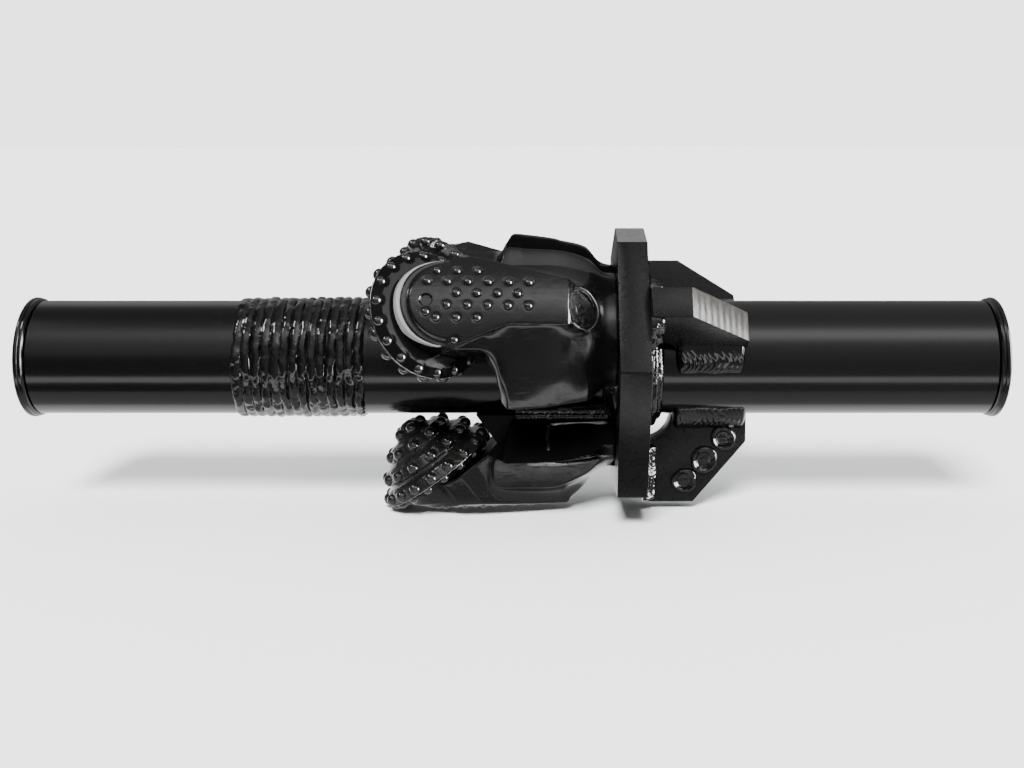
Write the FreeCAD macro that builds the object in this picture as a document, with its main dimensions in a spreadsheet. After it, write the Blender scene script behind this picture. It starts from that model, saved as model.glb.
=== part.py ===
import FreeCAD, Part
import math
import os

import Sketcher
from FreeCAD import Placement, Rotation, Vector

# Hole opener that widens a drilled hole to 311 mm. Three roller cone legs are welded round a
# heavy tube, the mandrel, and are backed by a six-sided plate and three ribs.
# Frame: origin on the mandrel's axis at mid length, +X towards the plate side, +Z up, in mm.

doc = FreeCAD.newDocument("HoleOpener")
sheet = doc.addObject("Spreadsheet::Sheet", "Sizes")

SIZES = [
    # Whole tool
    ("gauge_diameter", 311),
    ("leg_count", 3),
    ("weld_root_gap", 0.1),
    ("weld_sink", 8),
    ("cut_margin", 5),
    # Mandrel and its box connections
    ("mandrel_diameter", 114.3),
    ("mandrel_length", 956),
    ("mandrel_bore", 50.8),
    ("mandrel_edge", 2),
    ("box_counterbore_diameter", 90.5),
    ("box_counterbore_depth", 16),
    ("box_mouth_diameter", 85),
    ("box_thread_length", 95),
    ("box_taper", 0.125),
    # Hardfacing band
    ("band_start_x", -276),
    ("band_length", 132.6),
    ("band_thickness", 4.2),
    # Support plate
    ("plate_front_x", 101.6),
    ("plate_thickness", 29.4),
    ("plate_corner_radius", 153),
    ("plate_turn", 4.3),
    ("rear_ring_weld", 18),
    ("front_ring_weld", 14),
    ("front_ring_angle", 50),
    # Rear ribs
    ("gusset_thickness", 30),
    ("gusset_edge_drop", 8.5),
    ("gusset_1_edge_length", 38),
    ("gusset_2_edge_length", 51),
    ("gusset_3_edge_length", 45),
    ("gusset_1_length", 97),
    ("gusset_2_length", 104),
    ("gusset_3_length", 100),
    ("gusset_end_height", 27),
    ("mouse_hole_radius", 28),
    ("gusset_weld_height", 15),
    ("gusset_weld_spread", 38),
    # Leg body
    ("leg_offset", 43.5),
    ("leg_half_angle", 60),
    ("pad_front_x", -105),
    ("pad_front_drop", 1.3),
    ("pad_rear_drop", 7.2),
    ("shoulder_x", 54),
    ("shoulder_rear_x", 88.5),
    ("neck_radius", 112),
    ("nose_radius", 47),
    ("nose_shift", 1.5),
    ("pad_full_length", 23),
    ("pad_waist_length", 44),
    ("pad_waist_width", 32),
    ("pad_rear_width", 47),
    ("pad_cover", 2),
    ("neck_start_x", -75),
    ("throat_width", 41),
    ("throat_radius", 16),
    ("front_top_x", -14),
    ("corner_front_x", -10),
    ("corner_front_y", 78),
    ("corner_round", 8),
    ("front_root_x", -2),
    ("body_rise", 1),
    ("body_dip", 3),
    ("corner_front_radius", 97),
    ("corner_mid_x", 44),
    ("corner_mid_radius", 96),
    ("corner_rear_x", 94),
    ("corner_rear_radius", 74),
    ("corner_end_radius", 67),
    ("leg_weld_root", 20),
    ("leg_weld_low", 15),
    ("leg_weld_height", 16),
    ("leg_weld_spread", 35),
    # Journal and cone bearing
    ("journal_angle", 36),
    ("heel_x", -72),
    ("heel_height", 122),
    ("cone_gap", 0.8),
    ("heel_relief", 3),
    ("insert_clearance", 2),
    ("journal_radius", 24),
    ("journal_length", 45),
    ("pilot_radius", 13),
    ("pilot_length", 12.5),
    ("pilot_end_gap", 1),
    ("running_gap", 0.05),
    ("bushing_wall", 3),
    ("bushing_start", 8),
    ("bushing_length", 25),
    ("seal_start", 2),
    ("seal_width", 5),
    ("seal_height", 5),
    ("lip_clearance", 1),
    ("ball_radius", 5),
    ("ball_count", 11),
    ("race_position", 39),
    ("washer_thickness", 2),
    ("ball_hole_radius", 5.6),
    ("ball_hole_x", -77),
    ("plug_depth", 3.5),
    # Cone outside
    ("cone_back_radius", 54),
    ("cone_gauge_depth", 7.7),
    ("cone_gauge_radius", 63.3),
    ("cone_length", 67.5),
    ("cone_nose_radius", 4),
    # Inserts and buttons
    ("insert_radius", 6.25),
    ("insert_height", 4.8),
    ("gauge_insert_radius", 5.5),
    ("gauge_insert_height", 2.4),
    ("button_radius", 4),
    ("button_height", 1.2),
    ("button_pitch_x", 18.8),
    ("button_pitch_y", 12.2),
    ("button_shift_x", 4.3),
    ("button_shift_y", 7.7),
    # Grease reservoir in the leg shoulder
    ("cap_radius", 19),
    ("cap_shift", 3.5),
    ("cap_pocket_depth", 12),
    ("cap_thickness", 5),
    ("cap_gap", 0.1),
    ("cap_dimple_depth", 2),
    ("reservoir_radius", 15),
    ("reservoir_depth", 40),
    ("diaphragm_wall", 2),
    ("diaphragm_depth", 20),
    ("snap_ring_thickness", 1.6),
    ("snap_ring_width", 3.5),
    ("snap_ring_depth", 2.3),
    ("snap_ring_opening", 40),
    # Thread protectors
    ("gasket_thickness", 4.5),
    ("gasket_outer_diameter", 119),
    ("gasket_width", 9.5),
    ("gasket_inner_diameter", "=gasket_outer_diameter - 2 * gasket_width"),
    ("flange_overhang", 1),
    ("protector_flange_diameter", "=gasket_outer_diameter + 2 * flange_overhang"),
    ("protector_flange_thickness", 5),
    ("protector_hole", 53),
    ("protector_gap", 1),
    ("protector_wall", 5),
    ("protector_neck", 3),
    ("protector_bevel", 1.5),
    ("protector_edge", 0.8),
]

for row, (alias, value) in enumerate(SIZES, start=1):
    sheet.set(f"A{row}", alias.replace("_", " "))
    sheet.set(f"B{row}", str(value))
    sheet.setAlias(f"B{row}", alias)
doc.recompute()


def number(text):
    """Value of an expression that uses the sheet's sizes."""
    result = sheet.evalExpression(text)
    return float(getattr(result, "Value", result))


def size(alias):
    """Value of one size."""
    return number("Sizes." + alias)


# Helpers for sketches and features

PIECES = []


def new_body(label):
    """Empty body whose label is the piece's name."""
    body = doc.addObject("PartDesign::Body", label)
    body.Label = label
    PIECES.append(body)
    return body


def add_sketch(body, name, role, at=("0", "0"), turn="0", lift="0"):
    """Sketch on one of the body's origin planes, shifted and turned within that plane."""
    sketch = body.newObject("Sketcher::SketchObject", body.Label + "_" + name)
    plane = next(item for item in body.Origin.OriginFeatures if item.Role == role)
    sketch.AttachmentSupport = (plane, "")
    sketch.MapMode = "FlatFace"
    shift = Vector(number(at[0]), number(at[1]), number(lift))
    sketch.AttachmentOffset = Placement(shift, Rotation(Vector(0, 0, 1), number(turn)))
    return sketch


def bind(sketch, index, name, expression):
    """Name a constraint and tie it to the sheet."""
    sketch.renameConstraint(index, name)
    sketch.setExpression("Constraints." + name, expression)


def draw_loop(sketch, corners, arcs=None, tag="c"):
    """Closed outline through corners given as pairs of expressions.

    arcs maps the number of an edge to (radius expression, side): side +1 bulges to the left of
    the edge's direction, -1 to the right.
    """
    arcs = arcs or {}
    points = [Vector(number(x), number(y), 0) for x, y in corners]
    edges = []
    for i, start in enumerate(points):
        end = points[(i + 1) % len(points)]
        if i in arcs:
            radius_text, side = arcs[i]
            edges.append(sketch.addGeometry(bulged_edge(start, end, number(radius_text), side)))
        else:
            edges.append(sketch.addGeometry(Part.LineSegment(start, end)))
    starts = [first_vertex(sketch, edge, point) for edge, point in zip(edges, points)]
    for i, edge in enumerate(edges):
        after = (i + 1) % len(edges)
        end_vertex = 3 - starts[i]
        sketch.addConstraint(
            Sketcher.Constraint("Coincident", edge, end_vertex, edges[after], starts[after]))
    for i, (edge, point) in enumerate(zip(edges, points)):
        for kind, value, text in (("X", point.x, corners[i][0]), ("Y", point.y, corners[i][1])):
            constraint = Sketcher.Constraint("Distance" + kind, edge, starts[i], value)
            bind(sketch, sketch.addConstraint(constraint), f"{tag}{i}_{kind.lower()}", text)
    for i, (radius_text, _) in arcs.items():
        constraint = Sketcher.Constraint("Radius", edges[i], number(radius_text))
        bind(sketch, sketch.addConstraint(constraint), f"{tag}{i}_radius", radius_text)
    return sketch


def bulged_edge(start, end, radius, side):
    """Arc from start to end with the given radius, bulging to one side."""
    chord = end - start
    half = chord.Length / 2
    sagitta = radius - math.sqrt(max(radius * radius - half * half, 0))
    normal = Vector(-chord.y, chord.x, 0).normalize()
    middle = (start + end) * 0.5 + normal * (side * sagitta)
    return Part.Arc(start, middle, end)


def first_vertex(sketch, edge, point):
    """Sketch vertex number, 1 or 2, of the end that lies on point."""
    return 1 if (sketch.getPoint(edge, 1) - point).Length < 1e-6 else 2


def draw_circle(sketch, x_text, y_text, radius_text, tag="hole"):
    """Circle whose centre and radius are tied to the sheet."""
    centre = Vector(number(x_text), number(y_text), 0)
    circle = sketch.addGeometry(Part.Circle(centre, Vector(0, 0, 1), number(radius_text)))
    for kind, value, text in (("X", centre.x, x_text), ("Y", centre.y, y_text)):
        constraint = Sketcher.Constraint("Distance" + kind, circle, 3, value)
        bind(sketch, sketch.addConstraint(constraint), f"{tag}_{kind.lower()}", text)
    constraint = Sketcher.Constraint("Radius", circle, number(radius_text))
    bind(sketch, sketch.addConstraint(constraint), tag + "_radius", radius_text)
    return sketch


def turned(body, name, sketch, cut=False, angle="360", midplane=False):
    """Revolution or groove about the sketch's horizontal axis."""
    kind = "PartDesign::Groove" if cut else "PartDesign::Revolution"
    feature = body.newObject(kind, body.Label + "_" + name)
    feature.Profile = sketch
    feature.ReferenceAxis = (sketch, ["H_Axis"])
    feature.Midplane = midplane
    feature.setExpression("Angle", angle)
    return feature


def extruded(body, name, sketch, length, cut=False, midplane=False, backwards=False):
    """Pad or pocket of a sketch."""
    kind = "PartDesign::Pocket" if cut else "PartDesign::Pad"
    feature = body.newObject(kind, body.Label + "_" + name)
    feature.Profile = sketch
    feature.setExpression("Length", length)
    feature.Midplane = midplane
    feature.Reversed = backwards
    return feature


def groove_mandrel(body, start, end):
    """Cut the seat on the mandrel from x = start to x = end."""
    seat = add_sketch(body, "seat_sketch", "XZ_Plane")
    radius = "Sizes.mandrel_diameter / 2 + Sizes.weld_root_gap"
    draw_loop(seat, [(start, "0"), (end, "0"), (end, radius), (start, radius)])
    turned(body, "seat", seat, cut=True)


# Places round the mandrel

def around(index):
    """Turn from straight up to the direction of leg 1, 2 or 3."""
    first_leg = 60
    step = 360 / size("leg_count")
    return Placement(Vector(), Rotation(Vector(1, 0, 0), first_leg + step * (index - 1)))


def cone_frame(index):
    """Frame of a cone: x along its axis towards the nose, origin at the journal's root."""
    tilt = Rotation(Vector(0, 1, 0), 90 + size("journal_angle"))
    root = Placement(Vector(size("heel_x"), 0, size("heel_height")), tilt)
    return around(index) * root


def cap_frame(index):
    """Frame of a grease reservoir: x out of the leg's shoulder face, origin on that face."""
    middle = Vector(number(CAP_X), 0, number(CAP_Z))
    tilt = Rotation(Vector(0, 1, 0), -number(SHOULDER_TURN))
    return around(index) * Placement(middle, tilt)


PAD_FRONT_RADIUS = "(Sizes.gauge_diameter / 2 - Sizes.pad_front_drop)"
PAD_REAR_RADIUS = "(Sizes.gauge_diameter / 2 - Sizes.pad_rear_drop)"
SHOULDER_TURN = (
    f"atan((Sizes.shoulder_rear_x - Sizes.shoulder_x) / ({PAD_REAR_RADIUS} - Sizes.neck_radius))")
CAP_X = ("((Sizes.shoulder_x + Sizes.shoulder_rear_x) / 2"
         f" - Sizes.cap_shift * sin({SHOULDER_TURN}))")
CAP_Z = (f"(({PAD_REAR_RADIUS} + Sizes.neck_radius) / 2"
         f" + Sizes.cap_shift * cos({SHOULDER_TURN}))")
FAR = "Sizes.gauge_diameter"
HEEL = ("Sizes.heel_x", "Sizes.heel_height")
ALONG_CONE = "270 - Sizes.journal_angle"
PLATE_REAR_X = "(Sizes.plate_front_x + Sizes.plate_thickness)"
MANDREL_RADIUS = "Sizes.mandrel_diameter / 2"
LEG_NUMBERS = range(1, int(size("leg_count")) + 1)


# Mandrel

def make_mandrel():
    body = new_body("mandrel")
    end = "Sizes.mandrel_length / 2"
    shoulder = f"({end} - Sizes.box_counterbore_depth)"
    thread_end = f"({shoulder} - Sizes.box_thread_length)"
    thread_root = "(Sizes.box_mouth_diameter / 2 - Sizes.box_taper * Sizes.box_thread_length)"
    bore = "Sizes.mandrel_bore / 2"
    half = [
        (f"{end} - Sizes.mandrel_edge", MANDREL_RADIUS),
        (end, f"{MANDREL_RADIUS} - Sizes.mandrel_edge"),
        (end, "Sizes.box_counterbore_diameter / 2"),
        (shoulder, "Sizes.box_counterbore_diameter / 2"),
        (shoulder, "Sizes.box_mouth_diameter / 2"),
        (thread_end, thread_root),
        (f"{thread_end} - ({thread_root} - {bore})", bore),
    ]
    mirrored = [(f"-({x})", r) for x, r in reversed(half)]
    profile = add_sketch(body, "profile", "XZ_Plane")
    draw_loop(profile, half + mirrored)
    turned(body, "tube", profile)


def make_hardfacing_band():
    body = new_body("hardfacing_band")
    inner = MANDREL_RADIUS
    outer = f"{MANDREL_RADIUS} + Sizes.band_thickness"
    start = "Sizes.band_start_x"
    end = "(Sizes.band_start_x + Sizes.band_length)"
    profile = add_sketch(body, "profile", "XZ_Plane")
    draw_loop(profile, [
        (start, inner), (f"{start} + Sizes.band_thickness", outer),
        (f"{end} - Sizes.band_thickness", outer), (end, inner)])
    turned(body, "overlay", profile)


# Support plate, ribs and their welds

# Corners of the plate, as seen from its front: angle from the near side, upwards, and share of
# the full corner radius. The three cut back corners are pairs.
PLATE_CORNERS = [
    (-56.7, 1), (0, 0.957), (58.9, 0.9), (83.5, 0.861),
    (131.3, 0.869), (178.9, 0.9), (203.5, 0.861), (240.3, 1),
]


def make_support_plate():
    body = new_body("support_plate")
    outline = add_sketch(body, "outline", "YZ_Plane")
    corners = []
    for angle, reach in PLATE_CORNERS:
        turned_angle = f"({angle} + Sizes.plate_turn)"
        radius = f"Sizes.plate_corner_radius * {reach}"
        corners.append((f"-{radius} * cos({turned_angle})", f"{radius} * sin({turned_angle})"))
    draw_loop(outline, corners)
    draw_circle(outline, "0", "0", f"{MANDREL_RADIUS} + Sizes.weld_root_gap")
    extruded(body, "slab", outline, "Sizes.plate_thickness")
    body.Placement = Placement(Vector(size("plate_front_x"), 0, 0), Rotation())


def make_ring_weld(label, face_x, leg, angle, side):
    """Fillet weld between a plate face and the mandrel; side is the way it points from the face."""
    body = new_body(label)
    profile = add_sketch(body, "profile", "XZ_Plane")
    inner = f"{MANDREL_RADIUS} + Sizes.weld_root_gap"
    draw_loop(profile, [
        (face_x, inner), (f"{face_x} {side} {leg}", inner), (face_x, f"{inner} + {leg}")])
    ring = turned(body, "bead", profile, angle=angle, midplane=True)
    return body, ring


def make_plate_welds():
    make_ring_weld("plate_weld_rear", PLATE_REAR_X, "Sizes.rear_ring_weld", "360", "+")
    body, bead = make_ring_weld(
        "plate_weld_front", "Sizes.plate_front_x", "Sizes.front_ring_weld",
        "Sizes.front_ring_angle", "-")
    doc.recompute()
    pattern = body.newObject("PartDesign::PolarPattern", "plate_weld_front_pattern")
    pattern.Originals = [bead]
    axis = next(item for item in body.Origin.OriginFeatures if item.Role == "X_Axis")
    pattern.Axis = (axis, [""])
    pattern.Angle = 360
    pattern.setExpression("Occurrences", "Sizes.leg_count")
    body.Tip = pattern


def make_gusset(index):
    body = new_body(f"gusset_{index}")
    edge = "(Sizes.gauge_diameter / 2 - Sizes.gusset_edge_drop)"
    end_x = f"{PLATE_REAR_X} + Sizes.gusset_{index}_length"
    foot = f"{MANDREL_RADIUS} - Sizes.gusset_thickness / 8"
    outline = add_sketch(body, "outline", "XZ_Plane")
    draw_loop(outline, [
        (PLATE_REAR_X, edge),
        (f"{PLATE_REAR_X} + Sizes.gusset_{index}_edge_length", edge),
        (end_x, f"{MANDREL_RADIUS} + Sizes.gusset_end_height"),
        (end_x, foot),
        (f"{PLATE_REAR_X} + Sizes.mouse_hole_radius", foot),
        (f"{PLATE_REAR_X} + Sizes.mouse_hole_radius", MANDREL_RADIUS),
        (PLATE_REAR_X, f"{MANDREL_RADIUS} + Sizes.mouse_hole_radius"),
    ], arcs={5: ("Sizes.mouse_hole_radius", -1)})
    extruded(body, "slab", outline, "Sizes.gusset_thickness", midplane=True)
    groove_mandrel(body, PLATE_REAR_X, f"{end_x} + Sizes.cut_margin")
    body.Placement = around(index)


def make_side_welds(label, index, corners, start, length):
    """Pair of fillet beads along the mandrel, mirrored about the piece's middle plane."""
    body = new_body(label)
    section = add_sketch(body, "section", "YZ_Plane", lift=start)
    draw_loop(section, corners, tag="right")
    draw_loop(section, [(f"-({y})", z) for y, z in corners], tag="left")
    extruded(body, "beads", section, length)
    groove_mandrel(body, f"{start} - Sizes.cut_margin",
                   f"{start} + {length} + Sizes.cut_margin")
    body.Placement = around(index)


def make_gusset_weld(index):
    side = "Sizes.gusset_thickness / 2"
    spread = "Sizes.gusset_weld_spread"
    corners = [
        (side, f"{MANDREL_RADIUS} - Sizes.weld_sink"),
        (f"{MANDREL_RADIUS} * sin({spread})", f"{MANDREL_RADIUS} * cos({spread})"),
        (side, f"{MANDREL_RADIUS} + Sizes.gusset_weld_height"),
    ]
    start = f"({PLATE_REAR_X} + Sizes.mouse_hole_radius)"
    length = f"(Sizes.gusset_{index}_length - Sizes.mouse_hole_radius)"
    make_side_welds(f"gusset_weld_{index}", index, corners, start, length)


def make_leg_weld(index):
    spread = "Sizes.leg_weld_spread"
    low = "Sizes.leg_weld_low"
    high = "(Sizes.leg_weld_root + Sizes.leg_weld_height)"
    corners = [
        (f"{low} * sin(Sizes.leg_half_angle)",
         f"Sizes.leg_offset + {low} * cos(Sizes.leg_half_angle)"),
        (f"{MANDREL_RADIUS} * sin({spread})", f"{MANDREL_RADIUS} * cos({spread})"),
        (f"{high} * sin(Sizes.leg_half_angle)",
         f"Sizes.leg_offset + {high} * cos(Sizes.leg_half_angle)"),
    ]
    start = "(Sizes.front_root_x + Sizes.weld_root_gap)"
    length = f"(Sizes.plate_front_x - {start})"
    make_side_welds(f"leg_weld_{index}", index, corners, start, length)


# Leg

def leg_section(body, number_text, x, corner, crest):
    """Cross-section of the leg's wide body at x, with its tip on the offset line."""
    section = add_sketch(body, "section_" + number_text, "YZ_Plane", lift=x)
    half = [
        ("Sizes.leg_half_angle", corner),
        ("Sizes.leg_half_angle * 0.7", f"({corner} + Sizes.body_rise)"),
        ("Sizes.leg_half_angle * 0.4", f"({corner} - Sizes.body_dip)"),
        ("Sizes.leg_half_angle * 0.2", crest),
    ]
    right = [(f"{r} * sin({a})", f"Sizes.leg_offset + {r} * cos({a})") for a, r in half]
    left = [(f"-({y})", z) for y, z in reversed(right)]
    draw_loop(section, [("0", "Sizes.leg_offset")] + right + left)
    return section


def make_leg(index):
    body = new_body(f"leg_{index}")
    pad = f"({PAD_REAR_RADIUS} - Sizes.leg_offset - Sizes.pad_cover)"
    neck = "(Sizes.neck_radius - Sizes.leg_offset - Sizes.pad_cover / 2)"
    sections = [
        leg_section(body, "front", "Sizes.neck_start_x", "Sizes.corner_front_radius", pad),
        leg_section(body, "mid", "Sizes.corner_mid_x", "Sizes.corner_mid_radius", pad),
        leg_section(body, "rear", "Sizes.corner_rear_x", "Sizes.corner_rear_radius", neck),
        leg_section(body, "end", "Sizes.plate_front_x", "Sizes.corner_end_radius", neck),
    ]
    wide = body.newObject("PartDesign::AdditiveLoft", body.Label + "_wide_body")
    wide.Profile = sections[0]
    wide.Sections = sections[1:]
    wide.Ruled = True

    cut_front_face(body)
    add_tongue(body)
    add_joint_faces(body)
    cut_cone_space(body)
    add_journal(body)
    cut_outside(body)
    groove_mandrel(body, "Sizes.heel_x * 3", f"Sizes.plate_front_x + {FAR}")
    cut_ball_hole(body)
    cut_cap_pocket(body)
    body.Placement = around(index)


def cut_front_face(body):
    """Front of the wide body: leaning face, and a round throat each side of the tongue."""
    front = "Sizes.neck_start_x * 2"
    corner_z = "(Sizes.leg_offset + Sizes.corner_front_radius * cos(Sizes.leg_half_angle))"
    lean = add_sketch(body, "front_lean_sketch", "XZ_Plane")
    draw_loop(lean, [
        (front, "0"), ("Sizes.front_root_x", "0"), ("Sizes.front_root_x", MANDREL_RADIUS),
        ("Sizes.corner_front_x", corner_z), (front, corner_z)])
    extruded(body, "front_lean", lean, FAR, cut=True, midplane=True)

    throat = "Sizes.throat_radius"
    corner_end = "Sizes.corner_front_x + Sizes.corner_round"
    for name, sign in (("low", "-"), ("high", "")):
        edge = f"({sign}Sizes.throat_width + Sizes.nose_shift)"
        away = sign or "+"
        outline = add_sketch(body, f"throat_{name}_sketch", "XY_Plane", lift=f"-{FAR}")
        draw_loop(outline, [
            (front, edge), (f"Sizes.front_top_x - {throat}", edge),
            ("Sizes.front_top_x", f"{edge} {away} {throat}"),
            ("Sizes.corner_front_x", f"{sign}Sizes.corner_front_y"),
            (corner_end, f"{sign}(Sizes.corner_front_y + Sizes.corner_round)"),
            (corner_end, f"{sign}{FAR}"), (front, f"{sign}{FAR}")],
            arcs={1: (throat, 1 if sign else -1)})
        extruded(body, f"throat_{name}", outline, f"{FAR} * 2", cut=True, backwards=True)


def cut_outside(body):
    """Turn the pad, the shoulder and the neck about the leg's own axis."""
    trim = add_sketch(body, "outside_sketch", "XZ_Plane", at=("0", "Sizes.leg_offset"))
    pad_front = f"({PAD_FRONT_RADIUS} - Sizes.leg_offset)"
    pad_rear = f"({PAD_REAR_RADIUS} - Sizes.leg_offset)"
    neck = "(Sizes.neck_radius - Sizes.leg_offset)"
    far_left = "Sizes.heel_x * 2"
    far_right = f"Sizes.plate_front_x + {FAR}"
    draw_loop(trim, [
        (far_left, pad_front), ("Sizes.pad_front_x", pad_front), ("Sizes.shoulder_x", pad_rear),
        ("Sizes.shoulder_rear_x", neck), ("Sizes.plate_front_x", neck),
        ("Sizes.plate_front_x", "0"), (far_right, "0"), (far_right, FAR), (far_left, FAR)])
    turned(body, "outside", trim, cut=True)


def cut_cone_space(body):
    """Room for the cone behind the heel face, with a step where its gauge row passes."""
    space = add_sketch(body, "cone_space_sketch", "XZ_Plane", at=HEEL, turn=ALONG_CONE)
    clear = "Sizes.cone_gauge_radius + Sizes.insert_height + Sizes.insert_clearance"
    step = "Sizes.nose_radius + Sizes.insert_clearance"
    draw_loop(space, [
        ("0", "0"), ("0", step), ("-Sizes.heel_relief", step), ("-Sizes.heel_relief", clear),
        ("Sizes.cone_length", clear), ("Sizes.cone_length", "0")])
    turned(body, "cone_space", space, cut=True)


def add_journal(body):
    """Bearing journal with its ball race and its pilot pin."""
    journal = add_sketch(body, "journal_sketch", "XZ_Plane", at=HEEL, turn=ALONG_CONE)
    race_open = "Sizes.ball_radius * 0.98"
    race_floor = "Sizes.ball_radius * 0.6"
    race_bottom = f"({BALL_CIRCLE} - Sizes.ball_radius - Sizes.running_gap)"
    draw_loop(journal, [
        ("-Sizes.journal_radius / 2", "0"),
        ("Sizes.journal_length + Sizes.pilot_length", "0"),
        ("Sizes.journal_length + Sizes.pilot_length", "Sizes.pilot_radius"),
        ("Sizes.journal_length", "Sizes.pilot_radius"),
        ("Sizes.journal_length", "Sizes.journal_radius"),
        (f"Sizes.race_position + {race_open}", "Sizes.journal_radius"),
        (f"Sizes.race_position + {race_floor}", race_bottom),
        (f"Sizes.race_position - {race_floor}", race_bottom),
        (f"Sizes.race_position - {race_open}", "Sizes.journal_radius"),
        ("-Sizes.journal_radius / 2", "Sizes.journal_radius")])
    turned(body, "journal", journal)


def cut_ball_hole(body):
    hole = add_sketch(body, "ball_hole_sketch", "XY_Plane", lift="Sizes.gauge_diameter / 2")
    draw_circle(hole, "Sizes.ball_hole_x", "0", "Sizes.ball_hole_radius")
    extruded(body, "ball_hole", hole, BALL_HOLE_DEPTH, cut=True)


def cut_cap_pocket(body):
    """Stepped pocket in the shoulder for the grease reservoir, with the snap ring's groove."""
    pocket = add_sketch(body, "cap_pocket_sketch", "XZ_Plane",
                        at=(CAP_X, CAP_Z), turn=SHOULDER_TURN)
    ring_top = "-Sizes.snap_ring_depth"
    ring_low = "(-Sizes.snap_ring_depth - Sizes.snap_ring_thickness - Sizes.cap_gap)"
    ring_out = "(Sizes.cap_radius + Sizes.snap_ring_width / 3)"
    draw_loop(pocket, [
        ("Sizes.cap_pocket_depth", "0"), ("Sizes.cap_pocket_depth", "Sizes.cap_radius"),
        (ring_top, "Sizes.cap_radius"),
        (ring_top, ring_out), (ring_low, ring_out), (ring_low, "Sizes.cap_radius"),
        ("-Sizes.cap_pocket_depth", "Sizes.cap_radius"),
        ("-Sizes.cap_pocket_depth", "Sizes.reservoir_radius"),
        ("-Sizes.reservoir_depth", "Sizes.reservoir_radius"),
        ("-Sizes.reservoir_depth", "0")])
    turned(body, "cap_pocket", pocket, cut=True)


BALL_CIRCLE = "(Sizes.journal_radius + Sizes.bushing_wall / 2)"
BALL_HOLE_DEPTH = (
    "(Sizes.gauge_diameter / 2 - Sizes.heel_height + Sizes.race_position * cos(Sizes.journal_angle)"
    f" + {BALL_CIRCLE} * sin(Sizes.journal_angle) - Sizes.ball_radius / 2)")


def add_tongue(body):
    """Pad of the leg: round nose about the journal axis, sides that close in to the shoulder."""
    outline = body.newObject("Sketcher::SketchObject", body.Label + "_tongue_sketch")
    plane = next(item for item in body.Origin.OriginFeatures if item.Role == "XY_Plane")
    outline.AttachmentSupport = (plane, "")
    outline.MapMode = "FlatFace"
    tilt = Rotation(Vector(0, 1, 0), size("journal_angle"))
    outline.AttachmentOffset = Placement(Vector(size("heel_x"), 0, size("heel_height")), tilt)
    nose = "Sizes.nose_radius"
    high = f"(Sizes.nose_shift + {nose})"
    low = f"(Sizes.nose_shift - {nose})"
    rear_high = "(Sizes.pad_rear_width / 2 + Sizes.nose_shift)"
    rear_low = "(Sizes.nose_shift - Sizes.pad_rear_width / 2)"
    shoulder_at = (
        "((Sizes.shoulder_x - Sizes.heel_x) * cos(Sizes.journal_angle)"
        f" - ({PAD_REAR_RADIUS} - Sizes.heel_height) * sin(Sizes.journal_angle))")
    far = f"{shoulder_at} + Sizes.gauge_diameter / 2"
    draw_loop(outline, [
        ("0", high), (f"-{nose}", "Sizes.nose_shift"), ("0", low),
        ("Sizes.pad_full_length", "-Sizes.pad_waist_width"),
        ("Sizes.pad_waist_length", rear_low), (far, rear_low), (far, rear_high),
        (shoulder_at, rear_high), ("Sizes.pad_full_length", high)],
        arcs={0: (nose, -1), 1: (nose, -1)})
    extruded(body, "tongue", outline, "Sizes.gauge_diameter / 2")


def add_joint_faces(body):
    """Cut away everything past the two flat faces where the leg meets its neighbours."""
    faces = add_sketch(body, "joint_faces_sketch", "YZ_Plane", lift="Sizes.heel_x * 3")
    edge_y = f"{FAR} * sin(Sizes.leg_half_angle)"
    edge_z = f"(Sizes.leg_offset + {FAR} * cos(Sizes.leg_half_angle))"
    draw_loop(faces, [
        ("0", "Sizes.leg_offset"), (edge_y, edge_z), (edge_y, f"-{FAR}"),
        (f"-{edge_y}", f"-{FAR}"), (f"-{edge_y}", edge_z)])
    extruded(body, "joint_faces", faces, f"{FAR} * 2", cut=True, backwards=True)


# Faceted small solids

def stacked_rings(rings, sides):
    """Closed solid through rings of (radius, height), each a regular polygon."""
    loops = []
    for radius, height in rings:
        turn = [2 * math.pi * i / sides for i in range(sides)]
        loops.append([Vector(radius * math.cos(a), radius * math.sin(a), height) for a in turn])
    faces = [Part.Face(Part.makePolygon(loop + loop[:1])) for loop in (loops[0], loops[-1])]
    for low, high in zip(loops, loops[1:]):
        for i in range(sides):
            j = (i + 1) % sides
            corners = [low[i], low[j], high[j], high[i], low[i]]
            faces.append(Part.Face(Part.makePolygon(corners)))
    return Part.makeSolid(Part.makeShell(faces))


def domed_stud(radius, height):
    """Low stud with a flat foot at height 0 and a bevelled crown."""
    return stacked_rings([(radius, 0), (radius, height * 0.45), (radius * 0.55, height)], sides=6)


def faceted_ball(radius):
    """Bearing ball with flat facets."""
    rings = []
    for latitude in (-70, -25, 25, 70):
        rings.append((radius * math.cos(math.radians(latitude)),
                      radius * math.sin(math.radians(latitude))))
    return stacked_rings(rings, sides=6)


def add_group(label, solids, placement):
    """Piece made of separate equal solids."""
    group = doc.addObject("Part::Feature", label)
    group.Label = label
    group.Shape = Part.makeCompound(solids)
    group.Placement = placement
    PIECES.append(group)


# Bearing pieces and cone, all in the cone's own frame

CONE_BORE = "(Sizes.journal_radius + Sizes.bushing_wall + Sizes.running_gap)"
SEAL_OUTER = "(Sizes.journal_radius + Sizes.seal_height)"

# Cone outside from gauge corner to nose, as axial distance and radius
LANDS = [
    ("gauge", 9.5, 63, 19, 57.5),
    ("second", 26, 53, 36, 47),
    ("third", 42.5, 38, 52, 29.5),
    ("nose", 57, 17.5, 63.5, 10.5),
]
GROOVES = [
    (21, 51, 25, 50),
    (38, 40.5, 41.5, 37),
    (53.5, 21, 56, 18.3),
]


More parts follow.
